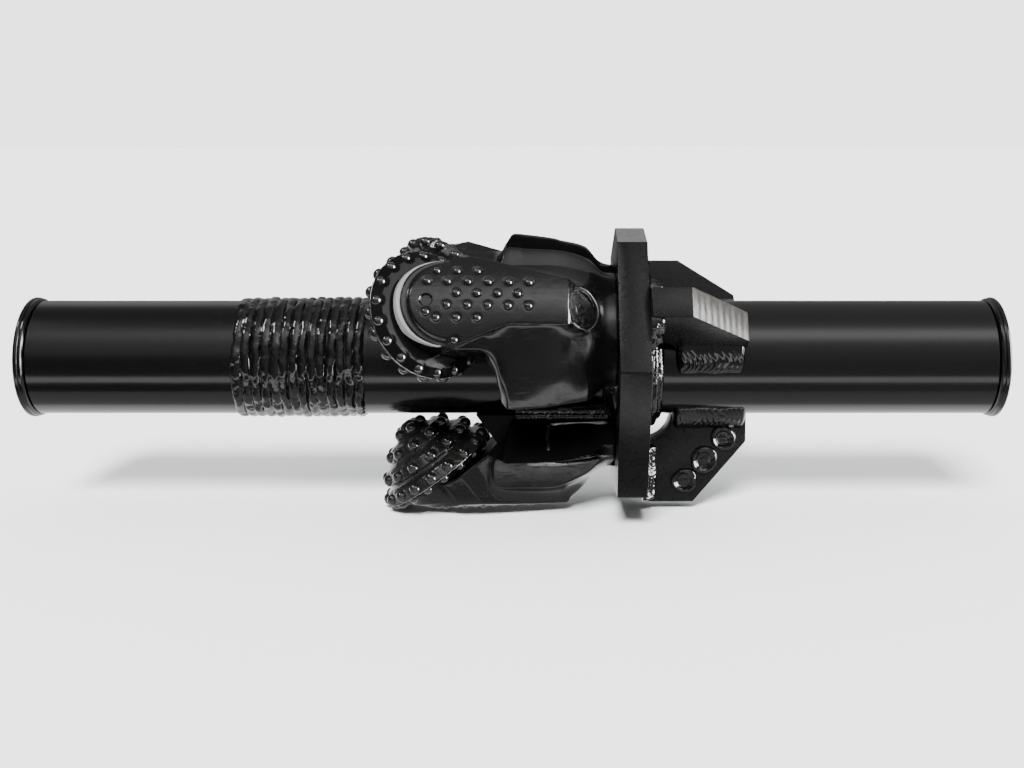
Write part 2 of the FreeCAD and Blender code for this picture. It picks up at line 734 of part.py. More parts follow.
def share(x, r):
    """Point of the cone's outside as shares of its length and gauge radius."""
    return (f"Sizes.cone_length * {x / 67.5:.5f}", f"Sizes.cone_gauge_radius * {r / 63.3:.5f}")


def make_cone(index):
    body = new_body(f"cone_{index}")
    profile = add_sketch(body, "profile", "XY_Plane")
    outside = [("Sizes.cone_gap", "Sizes.cone_back_radius"),
               ("Sizes.cone_gauge_depth", "Sizes.cone_gauge_radius")]
    for i, (_, x0, r0, x1, r1) in enumerate(LANDS):
        outside.append(share(x0, r0))
        outside.append(share(x1, r1))
        if i < len(GROOVES):
            gx0, gr0, gx1, gr1 = GROOVES[i]
            outside.append(share(gx0, gr0))
            outside.append(share(gx1, gr1))
    outside.append(("Sizes.cone_length", "Sizes.cone_nose_radius"))
    race_open = "Sizes.ball_radius * 0.98"
    race_floor = "Sizes.ball_radius * 0.6"
    race_top = f"({BALL_CIRCLE} + Sizes.ball_radius + Sizes.running_gap)"
    washer_seat = "(Sizes.journal_length + Sizes.washer_thickness + 2 * Sizes.running_gap)"
    pilot_end = "(Sizes.journal_length + Sizes.pilot_length + Sizes.pilot_end_gap)"
    pilot_bore = "(Sizes.pilot_radius + Sizes.running_gap)"
    lip = "(Sizes.journal_radius + Sizes.lip_clearance)"
    seal_end = "(Sizes.seal_start + Sizes.seal_width)"
    inside = [
        ("Sizes.cone_length", "0"), (pilot_end, "0"), (pilot_end, pilot_bore),
        (washer_seat, pilot_bore), (washer_seat, CONE_BORE),
        (f"Sizes.race_position + {race_open}", CONE_BORE),
        (f"Sizes.race_position + {race_floor}", race_top),
        (f"Sizes.race_position - {race_floor}", race_top),
        (f"Sizes.race_position - {race_open}", CONE_BORE),
        (seal_end, CONE_BORE), (seal_end, SEAL_OUTER), ("Sizes.seal_start", SEAL_OUTER),
        ("Sizes.seal_start", lip), ("Sizes.cone_gap", lip)]
    draw_loop(profile, outside + inside)
    turned(body, "shell", profile)
    body.Placement = cone_frame(index)


def make_ring(label, start, length, inner, outer, placement):
    """Plain ring about the x axis."""
    body = new_body(label)
    profile = add_sketch(body, "profile", "XZ_Plane")
    end = f"{start} + {length}"
    draw_loop(profile, [(start, inner), (end, inner), (end, outer), (start, outer)])
    turned(body, "ring", profile)
    body.Placement = placement


def make_bearing(index):
    frame = cone_frame(index)
    journal = "(Sizes.journal_radius + Sizes.running_gap)"
    make_ring(f"journal_bushing_{index}", "Sizes.bushing_start",
              "(Sizes.bushing_length - Sizes.running_gap)", journal,
              "Sizes.journal_radius + Sizes.bushing_wall", frame)
    make_ring(f"seal_ring_{index}", "Sizes.seal_start", "Sizes.seal_width", journal, SEAL_OUTER,
              frame)
    make_ring(f"thrust_washer_{index}", "(Sizes.journal_length + Sizes.running_gap)",
              "Sizes.washer_thickness", "Sizes.pilot_radius + Sizes.running_gap",
              "Sizes.journal_radius", frame)
    balls = []
    ball = faceted_ball(size("ball_radius"))
    circle = number(BALL_CIRCLE)
    count = int(size("ball_count"))
    for i in range(count):
        turn = Placement(Vector(), Rotation(Vector(1, 0, 0), 360 * i / count))
        place = turn * Placement(Vector(size("race_position"), 0, circle), Rotation())
        copy = ball.copy()
        copy.Placement = place
        balls.append(copy)
    add_group(f"ball_bearings_{index}", balls, frame)


def make_ball_plug(index):
    body = new_body(f"ball_plug_{index}")
    top = f"({PAD_FRONT_RADIUS} - Sizes.plug_depth)"
    sketch = add_sketch(body, "round", "XY_Plane", lift=top)
    draw_circle(sketch, "Sizes.ball_hole_x", "0", "Sizes.ball_hole_radius - Sizes.running_gap")
    shorter = "(Sizes.pad_front_drop + Sizes.plug_depth)"
    extruded(body, "stem", sketch, f"{BALL_HOLE_DEPTH} - {shorter}", backwards=True)
    clearance = add_sketch(body, "race_sketch", "XZ_Plane",
                           at=HEEL, turn=ALONG_CONE)
    low = f"({BALL_CIRCLE} - Sizes.ball_radius - Sizes.running_gap)"
    high = f"({BALL_CIRCLE} + Sizes.ball_radius * 3)"
    half = "Sizes.ball_radius * 2"
    draw_loop(clearance, [
        (f"Sizes.race_position - {half}", low), (f"Sizes.race_position + {half}", low),
        (f"Sizes.race_position + {half}", high), (f"Sizes.race_position - {half}", high)])
    turned(body, "race_end", clearance, cut=True)
    body.Placement = around(index)


def row_of_studs(stud, count, x, radius, normal_x, normal_r, phase=0.0):
    """Studs round the cone, each standing on the cone's surface along its normal."""
    copies = []
    upright = Rotation(Vector(0, 0, 1), Vector(normal_x, 0, normal_r))
    for i in range(count):
        turn = Placement(Vector(), Rotation(Vector(1, 0, 0), 360 * (i + phase) / count))
        copy = stud.copy()
        copy.Placement = turn * Placement(Vector(x, 0, radius), upright)
        copies.append(copy)
    return copies


def make_cone_inserts(index):
    length_scale = size("cone_length") / 67.5
    radius_scale = size("cone_gauge_radius") / 63.3
    stud = domed_stud(size("insert_radius"), size("insert_height"))
    studs = []
    for (_, x0, r0, x1, r1), count, phase in zip(LANDS, (18, 14, 10, 5), (0.5, 0, 0.5, 0)):
        x0, x1 = x0 * length_scale, x1 * length_scale
        r0, r1 = r0 * radius_scale, r1 * radius_scale
        slope = math.hypot(x1 - x0, r1 - r0)
        studs += row_of_studs(stud, count, (x0 + x1) / 2, (r0 + r1) / 2,
                              (r0 - r1) / slope, (x1 - x0) / slope, phase)
    back, gap = size("cone_back_radius"), size("cone_gap")
    depth, gauge = size("cone_gauge_depth"), size("cone_gauge_radius")
    slope = math.hypot(depth - gap, gauge - back)
    flush = domed_stud(size("gauge_insert_radius"), size("gauge_insert_height"))
    studs += row_of_studs(flush, 18, (gap + depth) / 2, (back + gauge) / 2,
                          -(gauge - back) / slope, (depth - gap) / slope)
    add_group(f"cone_inserts_{index}", studs, cone_frame(index))


def make_leg_buttons(index):
    """Wear buttons in staggered rows on the pad."""
    stud = domed_stud(size("button_radius"), size("button_height"))
    pitch_x, pitch_y = size("button_pitch_x"), size("button_pitch_y")
    front_x = size("pad_front_x")
    front_radius = number(PAD_FRONT_RADIUS) - size("leg_offset")
    rear_radius = number(PAD_REAR_RADIUS) - size("leg_offset")
    fall = (front_radius - rear_radius) / (size("shoulder_x") - front_x)
    upright = Rotation(Vector(0, 0, 1), Vector(fall, 0, 1))
    first_x = size("heel_x") - size("button_shift_x")
    rows = [(2, 0.45, 3), (1, 0, 6), (0, 1.45, 4), (-1, 0, 6), (-2, 0.5, 3)]
    buttons = []
    for row_number, start, count in rows:
        for i in range(count):
            x = first_x + (start + i) * pitch_x
            radius = front_radius - fall * (x - front_x)
            across = row_number * pitch_y + size("button_shift_y")
            angle = math.degrees(across / radius)
            lean = Placement(Vector(0, 0, size("leg_offset")), Rotation(Vector(1, 0, 0), -angle))
            copy = stud.copy()
            copy.Placement = lean * Placement(Vector(x, 0, radius), upright)
            buttons.append(copy)
    add_group(f"leg_buttons_{index}", buttons, around(index))


# Grease reservoir

def make_compensator(index):
    frame = cap_frame(index)
    outer = "Sizes.cap_radius - Sizes.cap_gap"
    ring_low = "(-Sizes.snap_ring_depth - Sizes.snap_ring_thickness - Sizes.cap_gap / 2)"
    cap_low = f"({ring_low} - Sizes.cap_thickness)"
    dimple = f"({ring_low} + Sizes.cap_dimple_depth)"

    cap = new_body(f"compensator_cap_{index}")
    profile = add_sketch(cap, "profile", "XZ_Plane")
    draw_loop(profile, [
        (cap_low, "0"), (cap_low, outer), (ring_low, outer),
        (ring_low, "Sizes.cap_radius / 3"), (dimple, "Sizes.cap_radius / 4"),
        (dimple, "Sizes.cap_radius / 8"), (ring_low, "Sizes.cap_radius / 8"),
        (ring_low, "0")])
    turned(cap, "disc", profile)
    cap.Placement = frame

    diaphragm = new_body(f"compensator_diaphragm_{index}")
    profile = add_sketch(diaphragm, "profile", "XZ_Plane")
    floor = "-Sizes.cap_pocket_depth"
    cup_out = "(Sizes.reservoir_radius - Sizes.cap_gap)"
    cup_in = f"({cup_out} - Sizes.diaphragm_wall)"
    cup_low = f"({floor} - Sizes.diaphragm_depth)"
    draw_loop(profile, [
        (cap_low, cup_in), (cap_low, outer), (floor, outer), (floor, cup_out),
        (cup_low, cup_out), (cup_low, "0"), (f"{cup_low} + Sizes.diaphragm_wall", "0"),
        (f"{cup_low} + Sizes.diaphragm_wall", cup_in)])
    turned(diaphragm, "cup", profile)
    diaphragm.Placement = frame

    ring = new_body(f"snap_ring_{index}")
    profile = add_sketch(ring, "profile", "XZ_Plane")
    ring_out = "(Sizes.cap_radius + Sizes.snap_ring_width / 3 - Sizes.cap_gap)"
    ring_in = f"({ring_out} - Sizes.snap_ring_width)"
    top = f"({ring_low} + Sizes.snap_ring_thickness)"
    draw_loop(profile, [(ring_low, ring_in), (top, ring_in), (top, ring_out), (ring_low, ring_out)])
    turned(ring, "hoop", profile, angle="360 - Sizes.snap_ring_opening", midplane=True)
    ring.Placement = frame


# Thread protectors, drawn with x pointing out of the mandrel and 0 at its end face

def end_frame(side):
    """Frame at the mandrel's end face; side is -1 at the cutter end, +1 at the plate end."""
    turn = 0 if side > 0 else 180
    place = Vector(side * size("mandrel_length") / 2, 0, 0)
    return Placement(place, Rotation(Vector(0, 0, 1), turn))


def make_protector(name, side):
    gasket = new_body(f"gasket_{name}")
    profile = add_sketch(gasket, "profile", "XZ_Plane")
    inner = "Sizes.gasket_inner_diameter / 2"
    draw_loop(profile, [
        ("0", inner), ("Sizes.gasket_thickness", inner),
        ("Sizes.gasket_thickness", "Sizes.gasket_outer_diameter / 2"),
        ("Sizes.gasket_thickness * 0.4", "Sizes.gasket_outer_diameter / 2"),
        ("0", f"{MANDREL_RADIUS}")])
    turned(gasket, "ring", profile)
    gasket.Placement = end_frame(side)

    protector = new_body(f"protector_{name}")
    profile = add_sketch(protector, "profile", "XZ_Plane")
    rim = "Sizes.protector_flange_diameter / 2"
    face = "Sizes.gasket_thickness"
    top = f"({face} + Sizes.protector_flange_thickness)"
    sleeve = "(Sizes.box_counterbore_diameter / 2 - Sizes.protector_gap)"
    plug = "(Sizes.box_mouth_diameter / 2 - Sizes.protector_gap)"
    plug_start = "-(Sizes.box_counterbore_depth - Sizes.protector_gap)"
    plug_end = "-(Sizes.box_counterbore_depth + Sizes.box_thread_length * 0.8)"
    plug_tip = f"({plug} - Sizes.box_taper * Sizes.box_thread_length * 0.8)"
    hole = "Sizes.protector_hole / 2"
    neck = f"({sleeve} - Sizes.protector_neck)"
    edge = "Sizes.protector_edge"
    bevel = "Sizes.protector_bevel"
    draw_loop(profile, [
        (face, neck), (face, f"{rim} - {edge}"), (f"{face} + {edge}", rim),
        (f"{top} - {bevel}", rim), (top, f"{rim} - {bevel}"),
        (top, f"{sleeve} - Sizes.protector_wall"),
        (plug_start, f"{plug} - Sizes.protector_wall"), (plug_end, hole), (plug_end, plug_tip),
        (plug_start, plug), (plug_start, sleeve), ("-Sizes.protector_gap", sleeve),
        ("-Sizes.protector_gap", neck)])
    turned(protector, "shell", profile)
    protector.Placement = end_frame(side)


# Build every piece

make_mandrel()
make_hardfacing_band()
make_support_plate()
make_plate_welds()
for leg_number in LEG_NUMBERS:
    make_gusset(leg_number)
    make_gusset_weld(leg_number)
    make_leg(leg_number)
    make_leg_weld(leg_number)
    make_leg_buttons(leg_number)
    make_cone(leg_number)
    make_cone_inserts(leg_number)
    make_bearing(leg_number)
    make_ball_plug(leg_number)
    make_compensator(leg_number)
make_protector("front", -1)
make_protector("rear", 1)
doc.recompute()


# Check and write

def check_document():
    """Stop if any object failed or any cut removed nothing."""
    for item in doc.Objects:
        if "Invalid" in item.State or "Error" in item.State:
            raise RuntimeError(f"{item.Label}: {item.State} {item.getStatusString()}")
        if item.TypeId in ("PartDesign::Pocket", "PartDesign::Groove"):
            before = item.BaseFeature.Shape.Volume
            if before - item.Shape.Volume < 1e-3:
                raise RuntimeError(item.Label + " cuts nothing")
    for piece in PIECES:
        if piece.Shape.isNull() or not piece.Shape.isValid() or not piece.Shape.Solids:
            raise RuntimeError(piece.Label + " has no valid solid")


check_document()
os.makedirs("parts", exist_ok=True)
for piece in PIECES:
    piece.Shape.exportStep(os.path.join("parts", piece.Label + ".step"))
print(len(PIECES), "pieces written")
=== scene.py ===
import math

import bmesh
import bpy
import numpy as np
from mathutils import Matrix, Vector


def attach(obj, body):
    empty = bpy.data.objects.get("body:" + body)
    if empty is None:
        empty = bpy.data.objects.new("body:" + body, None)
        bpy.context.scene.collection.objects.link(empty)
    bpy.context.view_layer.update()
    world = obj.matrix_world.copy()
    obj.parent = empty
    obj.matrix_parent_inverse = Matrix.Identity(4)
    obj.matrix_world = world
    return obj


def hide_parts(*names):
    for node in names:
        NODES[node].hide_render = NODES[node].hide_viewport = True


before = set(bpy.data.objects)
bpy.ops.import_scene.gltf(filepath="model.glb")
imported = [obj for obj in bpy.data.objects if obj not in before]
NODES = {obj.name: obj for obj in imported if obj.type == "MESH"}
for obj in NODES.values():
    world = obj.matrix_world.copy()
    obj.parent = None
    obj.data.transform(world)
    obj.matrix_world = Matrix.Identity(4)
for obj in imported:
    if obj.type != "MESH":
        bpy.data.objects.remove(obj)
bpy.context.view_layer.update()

MM = 0.001
LEGS = (1, 2, 3)

# Sizes in millimetres, the same as in the CAD model
MANDREL_R = 57.15
HALF_LENGTH = 478.0
PLATE_FRONT, PLATE_REAR = 101.6, 131.0
GUSSET_HALF = 15.0
GUSSET_LENGTH = {1: 97.0, 2: 104.0, 3: 100.0}
GUSSET_TOP = 147.0
MOUSE_HOLE = 28.0
LEG_OFFSET = 43.5
NOSE_R, NOSE_Y = 47.0, 1.5
SHOULDER_X = 99.5
HEEL_X, HEEL_Z = -72.0, 122.0
JOURNAL_ANGLE = math.radians(36)
PAD_TOP, PAD_START, PAD_LENGTH, PAD_DROP = 154.2, -105.0, 159.0, 5.9
CAP_PLACE, CAP_AXIS = (66.6, 0.0, 130.5), (0.7248, 0.0, 0.6889)
BUTTON_R = 4.0

# Direction of the faces where two legs meet, as sine and cosine of 60 degrees
JOINT_SIN, JOINT_COS = 0.866, 0.5


# Places round the mandrel

def turn_x(degrees):
    return Matrix.Rotation(math.radians(degrees), 4, "X")


def around(index):
    return turn_x(60 + 120 * (index - 1))


def cone_matrix(index):
    tilt = Matrix.Rotation(math.radians(126), 4, "Y")
    return around(index) @ Matrix.Translation((HEEL_X, 0, HEEL_Z)) @ tilt


# Noise on points, in numpy

def hashed(ix, iy, iz, seed):
    n = (ix * 374761393 + iy * 668265263 + iz * 2147483647 + seed * 1274126177) & 0xFFFFFFFF
    n = ((n ^ (n >> 13)) * 1274126177) & 0xFFFFFFFF
    n = (n ^ (n >> 16)) & 0xFFFF
    return n / 32767.5 - 1.0


def noise(points, scale, seed=0):
    """Smooth noise from -1 to 1 at points given as an array of x, y, z."""
    p = np.asarray(points, float) / scale
    low = np.floor(p).astype(np.int64)
    f = p - low
    f = f * f * (3 - 2 * f)
    total = 0
    for dx in (0, 1):
        for dy in (0, 1):
            for dz in (0, 1):
                weight = (
                    (f[..., 0] if dx else 1 - f[..., 0])
                    * (f[..., 1] if dy else 1 - f[..., 1])
                    * (f[..., 2] if dz else 1 - f[..., 2]))
                total = total + weight * hashed(
                    low[..., 0] + dx, low[..., 1] + dy, low[..., 2] + dz, seed)
    return total


def layered(points, scale, seed=0, octaves=3):
    total, weight = 0, 1.0
    for octave in range(octaves):
        total = total + weight * noise(points, scale / 2 ** octave, seed + octave * 17)
        weight *= 0.5
    return total / (2 - 2 ** (1 - octaves))


def smoothstep(low, high, value):
    t = np.clip((value - low) / (high - low), 0, 1)
    return t * t * (3 - 2 * t)


# Meshes

def add_object(name, data):
    piece = bpy.data.objects.new(name, data)
    bpy.context.scene.collection.objects.link(piece)
    return piece


def in_metres(matrix):
    """Copy of a matrix whose place is in millimetres, to move a mesh in metres."""
    matrix = matrix.copy()
    matrix.translation = matrix.translation * MM
    return matrix


def add_mesh(name, points, faces, smooth_angle=40):
    """Object from points in millimetres."""
    mesh = bpy.data.meshes.new(name)
    mesh.from_pydata((np.asarray(points, float) * MM).tolist(), [], faces)
    mesh.update()
    piece = add_object(name, mesh)
    shade(piece, smooth_angle)
    return piece


def shade(piece, smooth_angle=40):
    mesh = piece.data
    mesh.polygons.foreach_set("use_smooth", np.ones(len(mesh.polygons), bool))
    mesh.set_sharp_from_angle(angle=math.radians(smooth_angle))


def grid_faces(rows, columns, closed_rows=False, closed_columns=False, start=0):
    r = np.arange(rows if closed_rows else rows - 1)
    c = np.arange(columns if closed_columns else columns - 1)
    rr, cc = np.meshgrid(r, c, indexing="ij")
    r2, c2 = (rr + 1) % rows, (cc + 1) % columns
    quads = np.stack([rr * columns + cc, rr * columns + c2, r2 * columns + c2,
                      r2 * columns + cc], -1)
    return (quads.reshape(-1, 4) + start).tolist()


def rounded(profile, radius, steps=3):
    """Profile of (x, r) pairs with each corner rounded off; radius may be one per corner."""
    out = []
    count = len(profile)
    for i, corner in enumerate(profile):
        r = radius[i] if isinstance(radius, (list, tuple)) else radius
        here = Vector(corner)
        before, after = Vector(profile[i - 1]), Vector(profile[(i + 1) % count])
        a, b = before - here, after - here
        reach = min(r, a.length * 0.45, b.length * 0.45)
        if r <= 0 or a.length < 1e-6 or b.length < 1e-6:
            out.append(corner)
            continue
        start, end = here + a.normalized() * reach, here + b.normalized() * reach
        for k in range(steps + 1):
            t = k / steps
            p = start * (1 - t) ** 2 + here * 2 * t * (1 - t) + end * t * t
            out.append((p.x, p.y))
    return out


def revolve(name, profile, segments=128, matrix=None, smooth_angle=35):
    """Closed solid of revolution about the x axis; profile is (x, r) in millimetres."""
    angles = np.linspace(0, 2 * math.pi, segments, endpoint=False)
    px, pr = np.array(profile, float).T
    points = np.stack([
        np.broadcast_to(px[:, None], (len(px), segments)),
        pr[:, None] * np.sin(angles)[None], pr[:, None] * np.cos(angles)[None]], -1)
    faces = grid_faces(len(px), segments, closed_rows=True, closed_columns=True)
    piece = add_mesh(name, points.reshape(-1, 3), faces, smooth_angle)
    tidy(piece, matrix)
    shade(piece, smooth_angle)
    return piece


def tidy(piece, matrix=None, merge=1e-6):
    """Merge doubled points, face outwards and move into the part's frame."""
    bm = bmesh.new()
    bm.from_mesh(piece.data)
    bmesh.ops.remove_doubles(bm, verts=bm.verts, dist=merge)
    flat = [f for f in bm.faces if f.calc_area() < 1e-14]
    bmesh.ops.delete(bm, geom=flat, context="FACES")
    bmesh.ops.recalc_face_normals(bm, faces=bm.faces)
    bm.to_mesh(piece.data)
    bm.free()
    if matrix is not None:
        piece.data.transform(in_metres(matrix))
    piece.data.update()


def coords(piece):
    co = np.zeros(len(piece.data.vertices) * 3, np.float32)
    piece.data.vertices.foreach_get("co", co)
    return co.reshape(-1, 3).astype(float) / MM


def set_coords(piece, points):
    piece.data.vertices.foreach_set("co", (points * MM).astype(np.float32).ravel())
    piece.data.update()


def normals(piece):
    n = np.zeros(len(piece.data.vertices) * 3, np.float32)
    piece.data.vertices.foreach_get("normal", n)
    return n.reshape(-1, 3).astype(float)


def relax(piece, rounds, weight=None):
    """Pull each point half way to the mean of its neighbours, or less where weighted."""
    share = 0.5
    points = coords(piece)
    edges = np.zeros(len(piece.data.edges) * 2, np.int32)
    piece.data.edges.foreach_get("vertices", edges)
    a, b = edges.reshape(-1, 2).T
    count = len(points)
    degree = np.bincount(a, minlength=count) + np.bincount(b, minlength=count)
    amount = share if weight is None else (share * weight)[:, None]
    for _ in range(rounds):
        mean = np.stack([
            np.bincount(a, points[b, k], count) + np.bincount(b, points[a, k], count)
            for k in range(3)], -1) / np.maximum(degree, 1)[:, None]
        points = points + amount * (mean - points)
    set_coords(piece, points)


def copy_of(node, name):
    """Merged copy of a CAD node's mesh."""
    mesh = NODES[node].data.copy()
    piece = add_object(name, mesh)
    mesh.materials.clear()
    bm = bmesh.new()
    bm.from_mesh(mesh)
    bmesh.ops.remove_doubles(bm, verts=bm.verts, dist=2e-6)
    bm.to_mesh(mesh)
    bm.free()
    if mesh.has_custom_normals:
        mesh.attributes.remove(mesh.attributes["custom_normal"])
    return piece


def with_modifiers(piece, *settings):
    """Apply modifiers given as (type, {setting: value})."""
    for kind, values in settings:
        modifier = piece.modifiers.new(kind, kind)
        for key, value in values.items():
            setattr(modifier, key, value)
    depsgraph = bpy.context.evaluated_depsgraph_get()
    mesh = bpy.data.meshes.new_from_object(piece.evaluated_get(depsgraph))
    piece.modifiers.clear()
    old = piece.data
    piece.data = mesh
    bpy.data.meshes.remove(old)
    return piece


def forged(node, name, voxel, rounds, lump, lump_scale, seed, prepare):
    """Copy of a CAD node with evenly meshed, softly rounded surfaces."""
    piece = copy_of(node, name)
    prepare(piece)
    with_modifiers(piece, ("REMESH", {"mode": "VOXEL", "voxel_size": voxel * MM}))
    relax(piece, rounds)
    points = coords(piece)
    set_coords(piece, points + normals(piece) * (
        lump * layered(points, lump_scale, seed))[:, None])
    shade(piece, 60)
    return piece


def bevelled(node, name, width):
    """Copy of a CAD node with its sharp edges rounded off."""
    piece = copy_of(node, name)
    with_modifiers(piece, ("BEVEL", {
        "width": width * MM, "segments": 3, "limit_method": "ANGLE",
        "angle_limit": math.radians(30), "harden_normals": False}))
    shade(piece, 40)
    return piece


def finish_piece(piece, body, material, *nodes, slot=None):
    piece.data.materials.clear()
    piece.data.materials.append(material)
    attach(piece, body)
    if nodes:
        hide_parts(*nodes)
    return piece


# Materials

def empty_material(name):
    """New material, its node tree and the surface socket of the output, its only node."""
    material = bpy.data.materials.new(name)
    material.use_nodes = True
    tree = material.node_tree
    tree.nodes.clear()
    return material, tree, tree.nodes.new("ShaderNodeOutputMaterial").inputs["Surface"]


def add_node(tree, kind, inputs=None, **settings):
    """Shader node; an input is given as a value or as another node's output."""
    node = tree.nodes.new("ShaderNode" + kind)
    for key, value in settings.items():
        setattr(node, key, value)
    for key, value in (inputs or {}).items():
        if isinstance(value, bpy.types.NodeSocket):
            tree.links.new(value, node.inputs[key])
        else:
            node.inputs[key].default_value = value
    return node


def add_ramp(tree, value, stops, interpolation="LINEAR"):
    """Colour ramp through (position, grey or colour) stops."""
    node = add_node(tree, "ValToRGB", {"Fac": value})
    node.color_ramp.interpolation = interpolation
    elements = node.color_ramp.elements
    while len(elements) < len(stops):
        elements.new(0.5)
    for element, (position, colour) in zip(elements, stops):
        element.position = position
        element.color = (*colour, 1) if isinstance(colour, tuple) else (colour,) * 3 + (1,)
    return node.outputs["Color"]


def painted(name, colour, roughness, *, spread=0.12, coat=0.0, grain=220.0, bump=0.25,
            bump_scale=900.0, scratches=0.0, dust=0.0, lines=None, ior=1.5, metallic=0.0,
            stretch=(1, 1, 1), painted_highlight=None):
    """Paint or metal whose colour, roughness and surface all vary with noise."""
    material, tree, surface = empty_material(name)
    shader = add_node(tree, "BsdfPrincipled", {
        "IOR": ior, "Metallic": metallic, "Coat Weight": coat, "Coat Roughness": 0.08})
    tree.links.new(shader.outputs["BSDF"], surface)
    place = add_node(tree, "TexCoord").outputs["Object"]
    source = add_node(tree, "Mapping", {"Vector": place, "Scale": stretch}).outputs["Vector"]

    def texture(scale, detail=4.0, rough=0.55, vector=source):
        return add_node(tree, "TexNoise", {"Scale": scale, "Detail": detail, "Roughness": rough,
                                           "Vector": vector}).outputs["Fac"]

    def mix(factor, first, second):
        return add_node(tree, "Mix", {0: factor, 6: first, 7: (*second, 1)},
                        data_type="RGBA").outputs[2]

    def bumped(height, strength, distance, below=None):
        inputs = {"Height": height, "Strength": strength, "Distance": distance}
        if below:
            inputs["Normal"] = below
        return add_node(tree, "Bump", inputs).outputs["Normal"]

    low = tuple(c * (1 - spread * 2) for c in colour)
    high = tuple(min(c * (1 + spread * 3), 1) for c in colour)
    base = add_ramp(tree, texture(grain * 0.25), [(0.32, low), (0.55, colour), (0.75, high)])
    if dust:
        specks = add_ramp(tree, texture(grain * 6, 2, 0.6), [(0.66, 0.0), (0.74, dust)])
        base = mix(specks, base, (0.35, 0.34, 0.32))
    # Painted highlight: a light colour mixed in where the point attribute marks it
    if painted_highlight:
        mark = add_node(tree, "Attribute", attribute_name="painted_highlight").outputs["Fac"]
        base = mix(add_ramp(tree, mark, [(0.47, 0.0), (0.53, 1.0)]), base, painted_highlight)
    tree.links.new(base, shader.inputs["Base Color"])
    tree.links.new(add_ramp(tree, texture(grain * 0.5, 5, 0.65), [
        (0.3, max(roughness - spread, 0.03)), (0.7, min(roughness + spread, 1.0))]),
        shader.inputs["Roughness"])

    normal = bumped(texture(bump_scale, 5, 0.6), bump, 0.0004)
    normal = bumped(texture(bump_scale * 0.16, 3, 0.5), min(bump * 1.4, 1), 0.001, normal)
    if scratches:
        thin = add_node(tree, "Mapping", {"Vector": place, "Rotation": (0.2, 0.35, 0.6),
                                          "Scale": (60, 900, 900)}).outputs["Vector"]
        cut = add_ramp(tree, texture(1.0, 3, 0.5, thin), [(0.62, 0.0), (0.7, 1.0)])
        normal = bumped(cut, scratches, 0.0002, normal)
    if lines:
        direction, spacing, depth = lines
        wave = add_node(tree, "TexWave", {
            "Scale": spacing, "Distortion": 1.2, "Detail": 3, "Vector": place},
            wave_type="BANDS", bands_direction=direction).outputs["Fac"]
        normal = bumped(wave, depth, 0.0004, normal)
    tree.links.new(normal, shader.inputs["Normal"])
    return material


BLACK = (0.0012, 0.0012, 0.0013)
MATERIALS = {
    "mandrel": painted("mandrel_paint", (0.0008, 0.0008, 0.0009), 0.17, spread=0.035, grain=60,
                       bump=0.03, bump_scale=500, stretch=(0.15, 1, 1), dust=0.005, ior=1.48),
    "weld": painted("weld_paint", BLACK, 0.09, spread=0.04, grain=400, bump=0.12,
                    bump_scale=700, ior=1.55),
    "plate": painted("plate_paint", (0.0014, 0.0014, 0.0014), 0.3, spread=0.08, grain=300,
                     bump=0.1, bump_scale=900, dust=0.02, scratches=0.15, ior=1.34),
    # The leg paint carries a light grey painted highlight for the lip round the nose
    "leg": painted("leg_paint", (0.0014, 0.0014, 0.0013), 0.18, spread=0.06, grain=160,
                   bump=0.05, bump_scale=800, scratches=0.25, dust=0.015,
                   painted_highlight=(0.13, 0.13, 0.13)),
    "cone": painted("cone_steel", (0.004, 0.0038, 0.0036), 0.2, spread=0.04, grain=120,
                    bump=0.02, bump_scale=900, ior=1.68),
    "insert": painted("insert_paint", (0.003, 0.003, 0.003), 0.1, spread=0.04, grain=600,
                      bump=0.03, bump_scale=1200, coat=0.6, ior=1.7),
    # Painted reflection: the sloped cut face of each rib in a lighter grey for the light it
    # reflects; the cut lines are bumps
    "sawn_sheen": painted("sawn_face_painted_reflection", (0.036, 0.034, 0.032), 0.4, spread=0.1, grain=300, bump=0.3,
                   bump_scale=700, lines=("X", 48, 1.0), ior=1.38),
    # Painted shade: the leg's black made dull and hardly reflecting, for the cone's pocket and the
    # web under it
    "throat": painted("throat_paint", BLACK, 0.45, spread=0.06, grain=200, bump=0.2,
                      bump_scale=700, ior=1.2),
    # Painted highlight: light metal for the cone's heel ring and the tack welds, standing in for
    # the glint along them
    "edge": painted("edge_painted_highlight", (0.35, 0.35, 0.34), 0.3, spread=0.05, grain=400, bump=0.05,
                    bump_scale=900, metallic=1.0),
    # Painted shade: a darker, hardly reflecting copy of the cone steel for the cone's back face
    "cone_back_shade": painted("cone_back_shade", (0.002, 0.002, 0.002), 0.16, spread=0.04, grain=200,
                         bump=0.03, bump_scale=900, ior=1.12),
    # Painted light: the plate's upward faces, lit from above, in a lighter grey; the drag lines
    # are bumps
    "cut": painted("flame_cut_top_painted_light", (0.05, 0.05, 0.05), 0.4, spread=0.1, grain=300, bump=0.3,
                   bump_scale=700, lines=("Y", 120, 0.6)),
    "steel": painted("bright_steel", (0.5, 0.5, 0.5), 0.28, metallic=1.0, grain=500,
                     bump=0.1, bump_scale=900),
    "bronze": painted("turned_bronze", (0.5, 0.33, 0.14), 0.3, metallic=1.0, grain=500,
                      bump=0.1, bump_scale=900, lines=("X", 900, 0.2)),
    "rubber": painted("moulded_rubber", (0.01, 0.01, 0.01), 0.6, grain=600, bump=0.2,
                      bump_scale=1200),
    "plastic": painted("protector_plastic", BLACK, 0.14, spread=0.05, grain=200,
                       bump=0.04, bump_scale=600, scratches=0.05),
}


# Mandrel and its ends

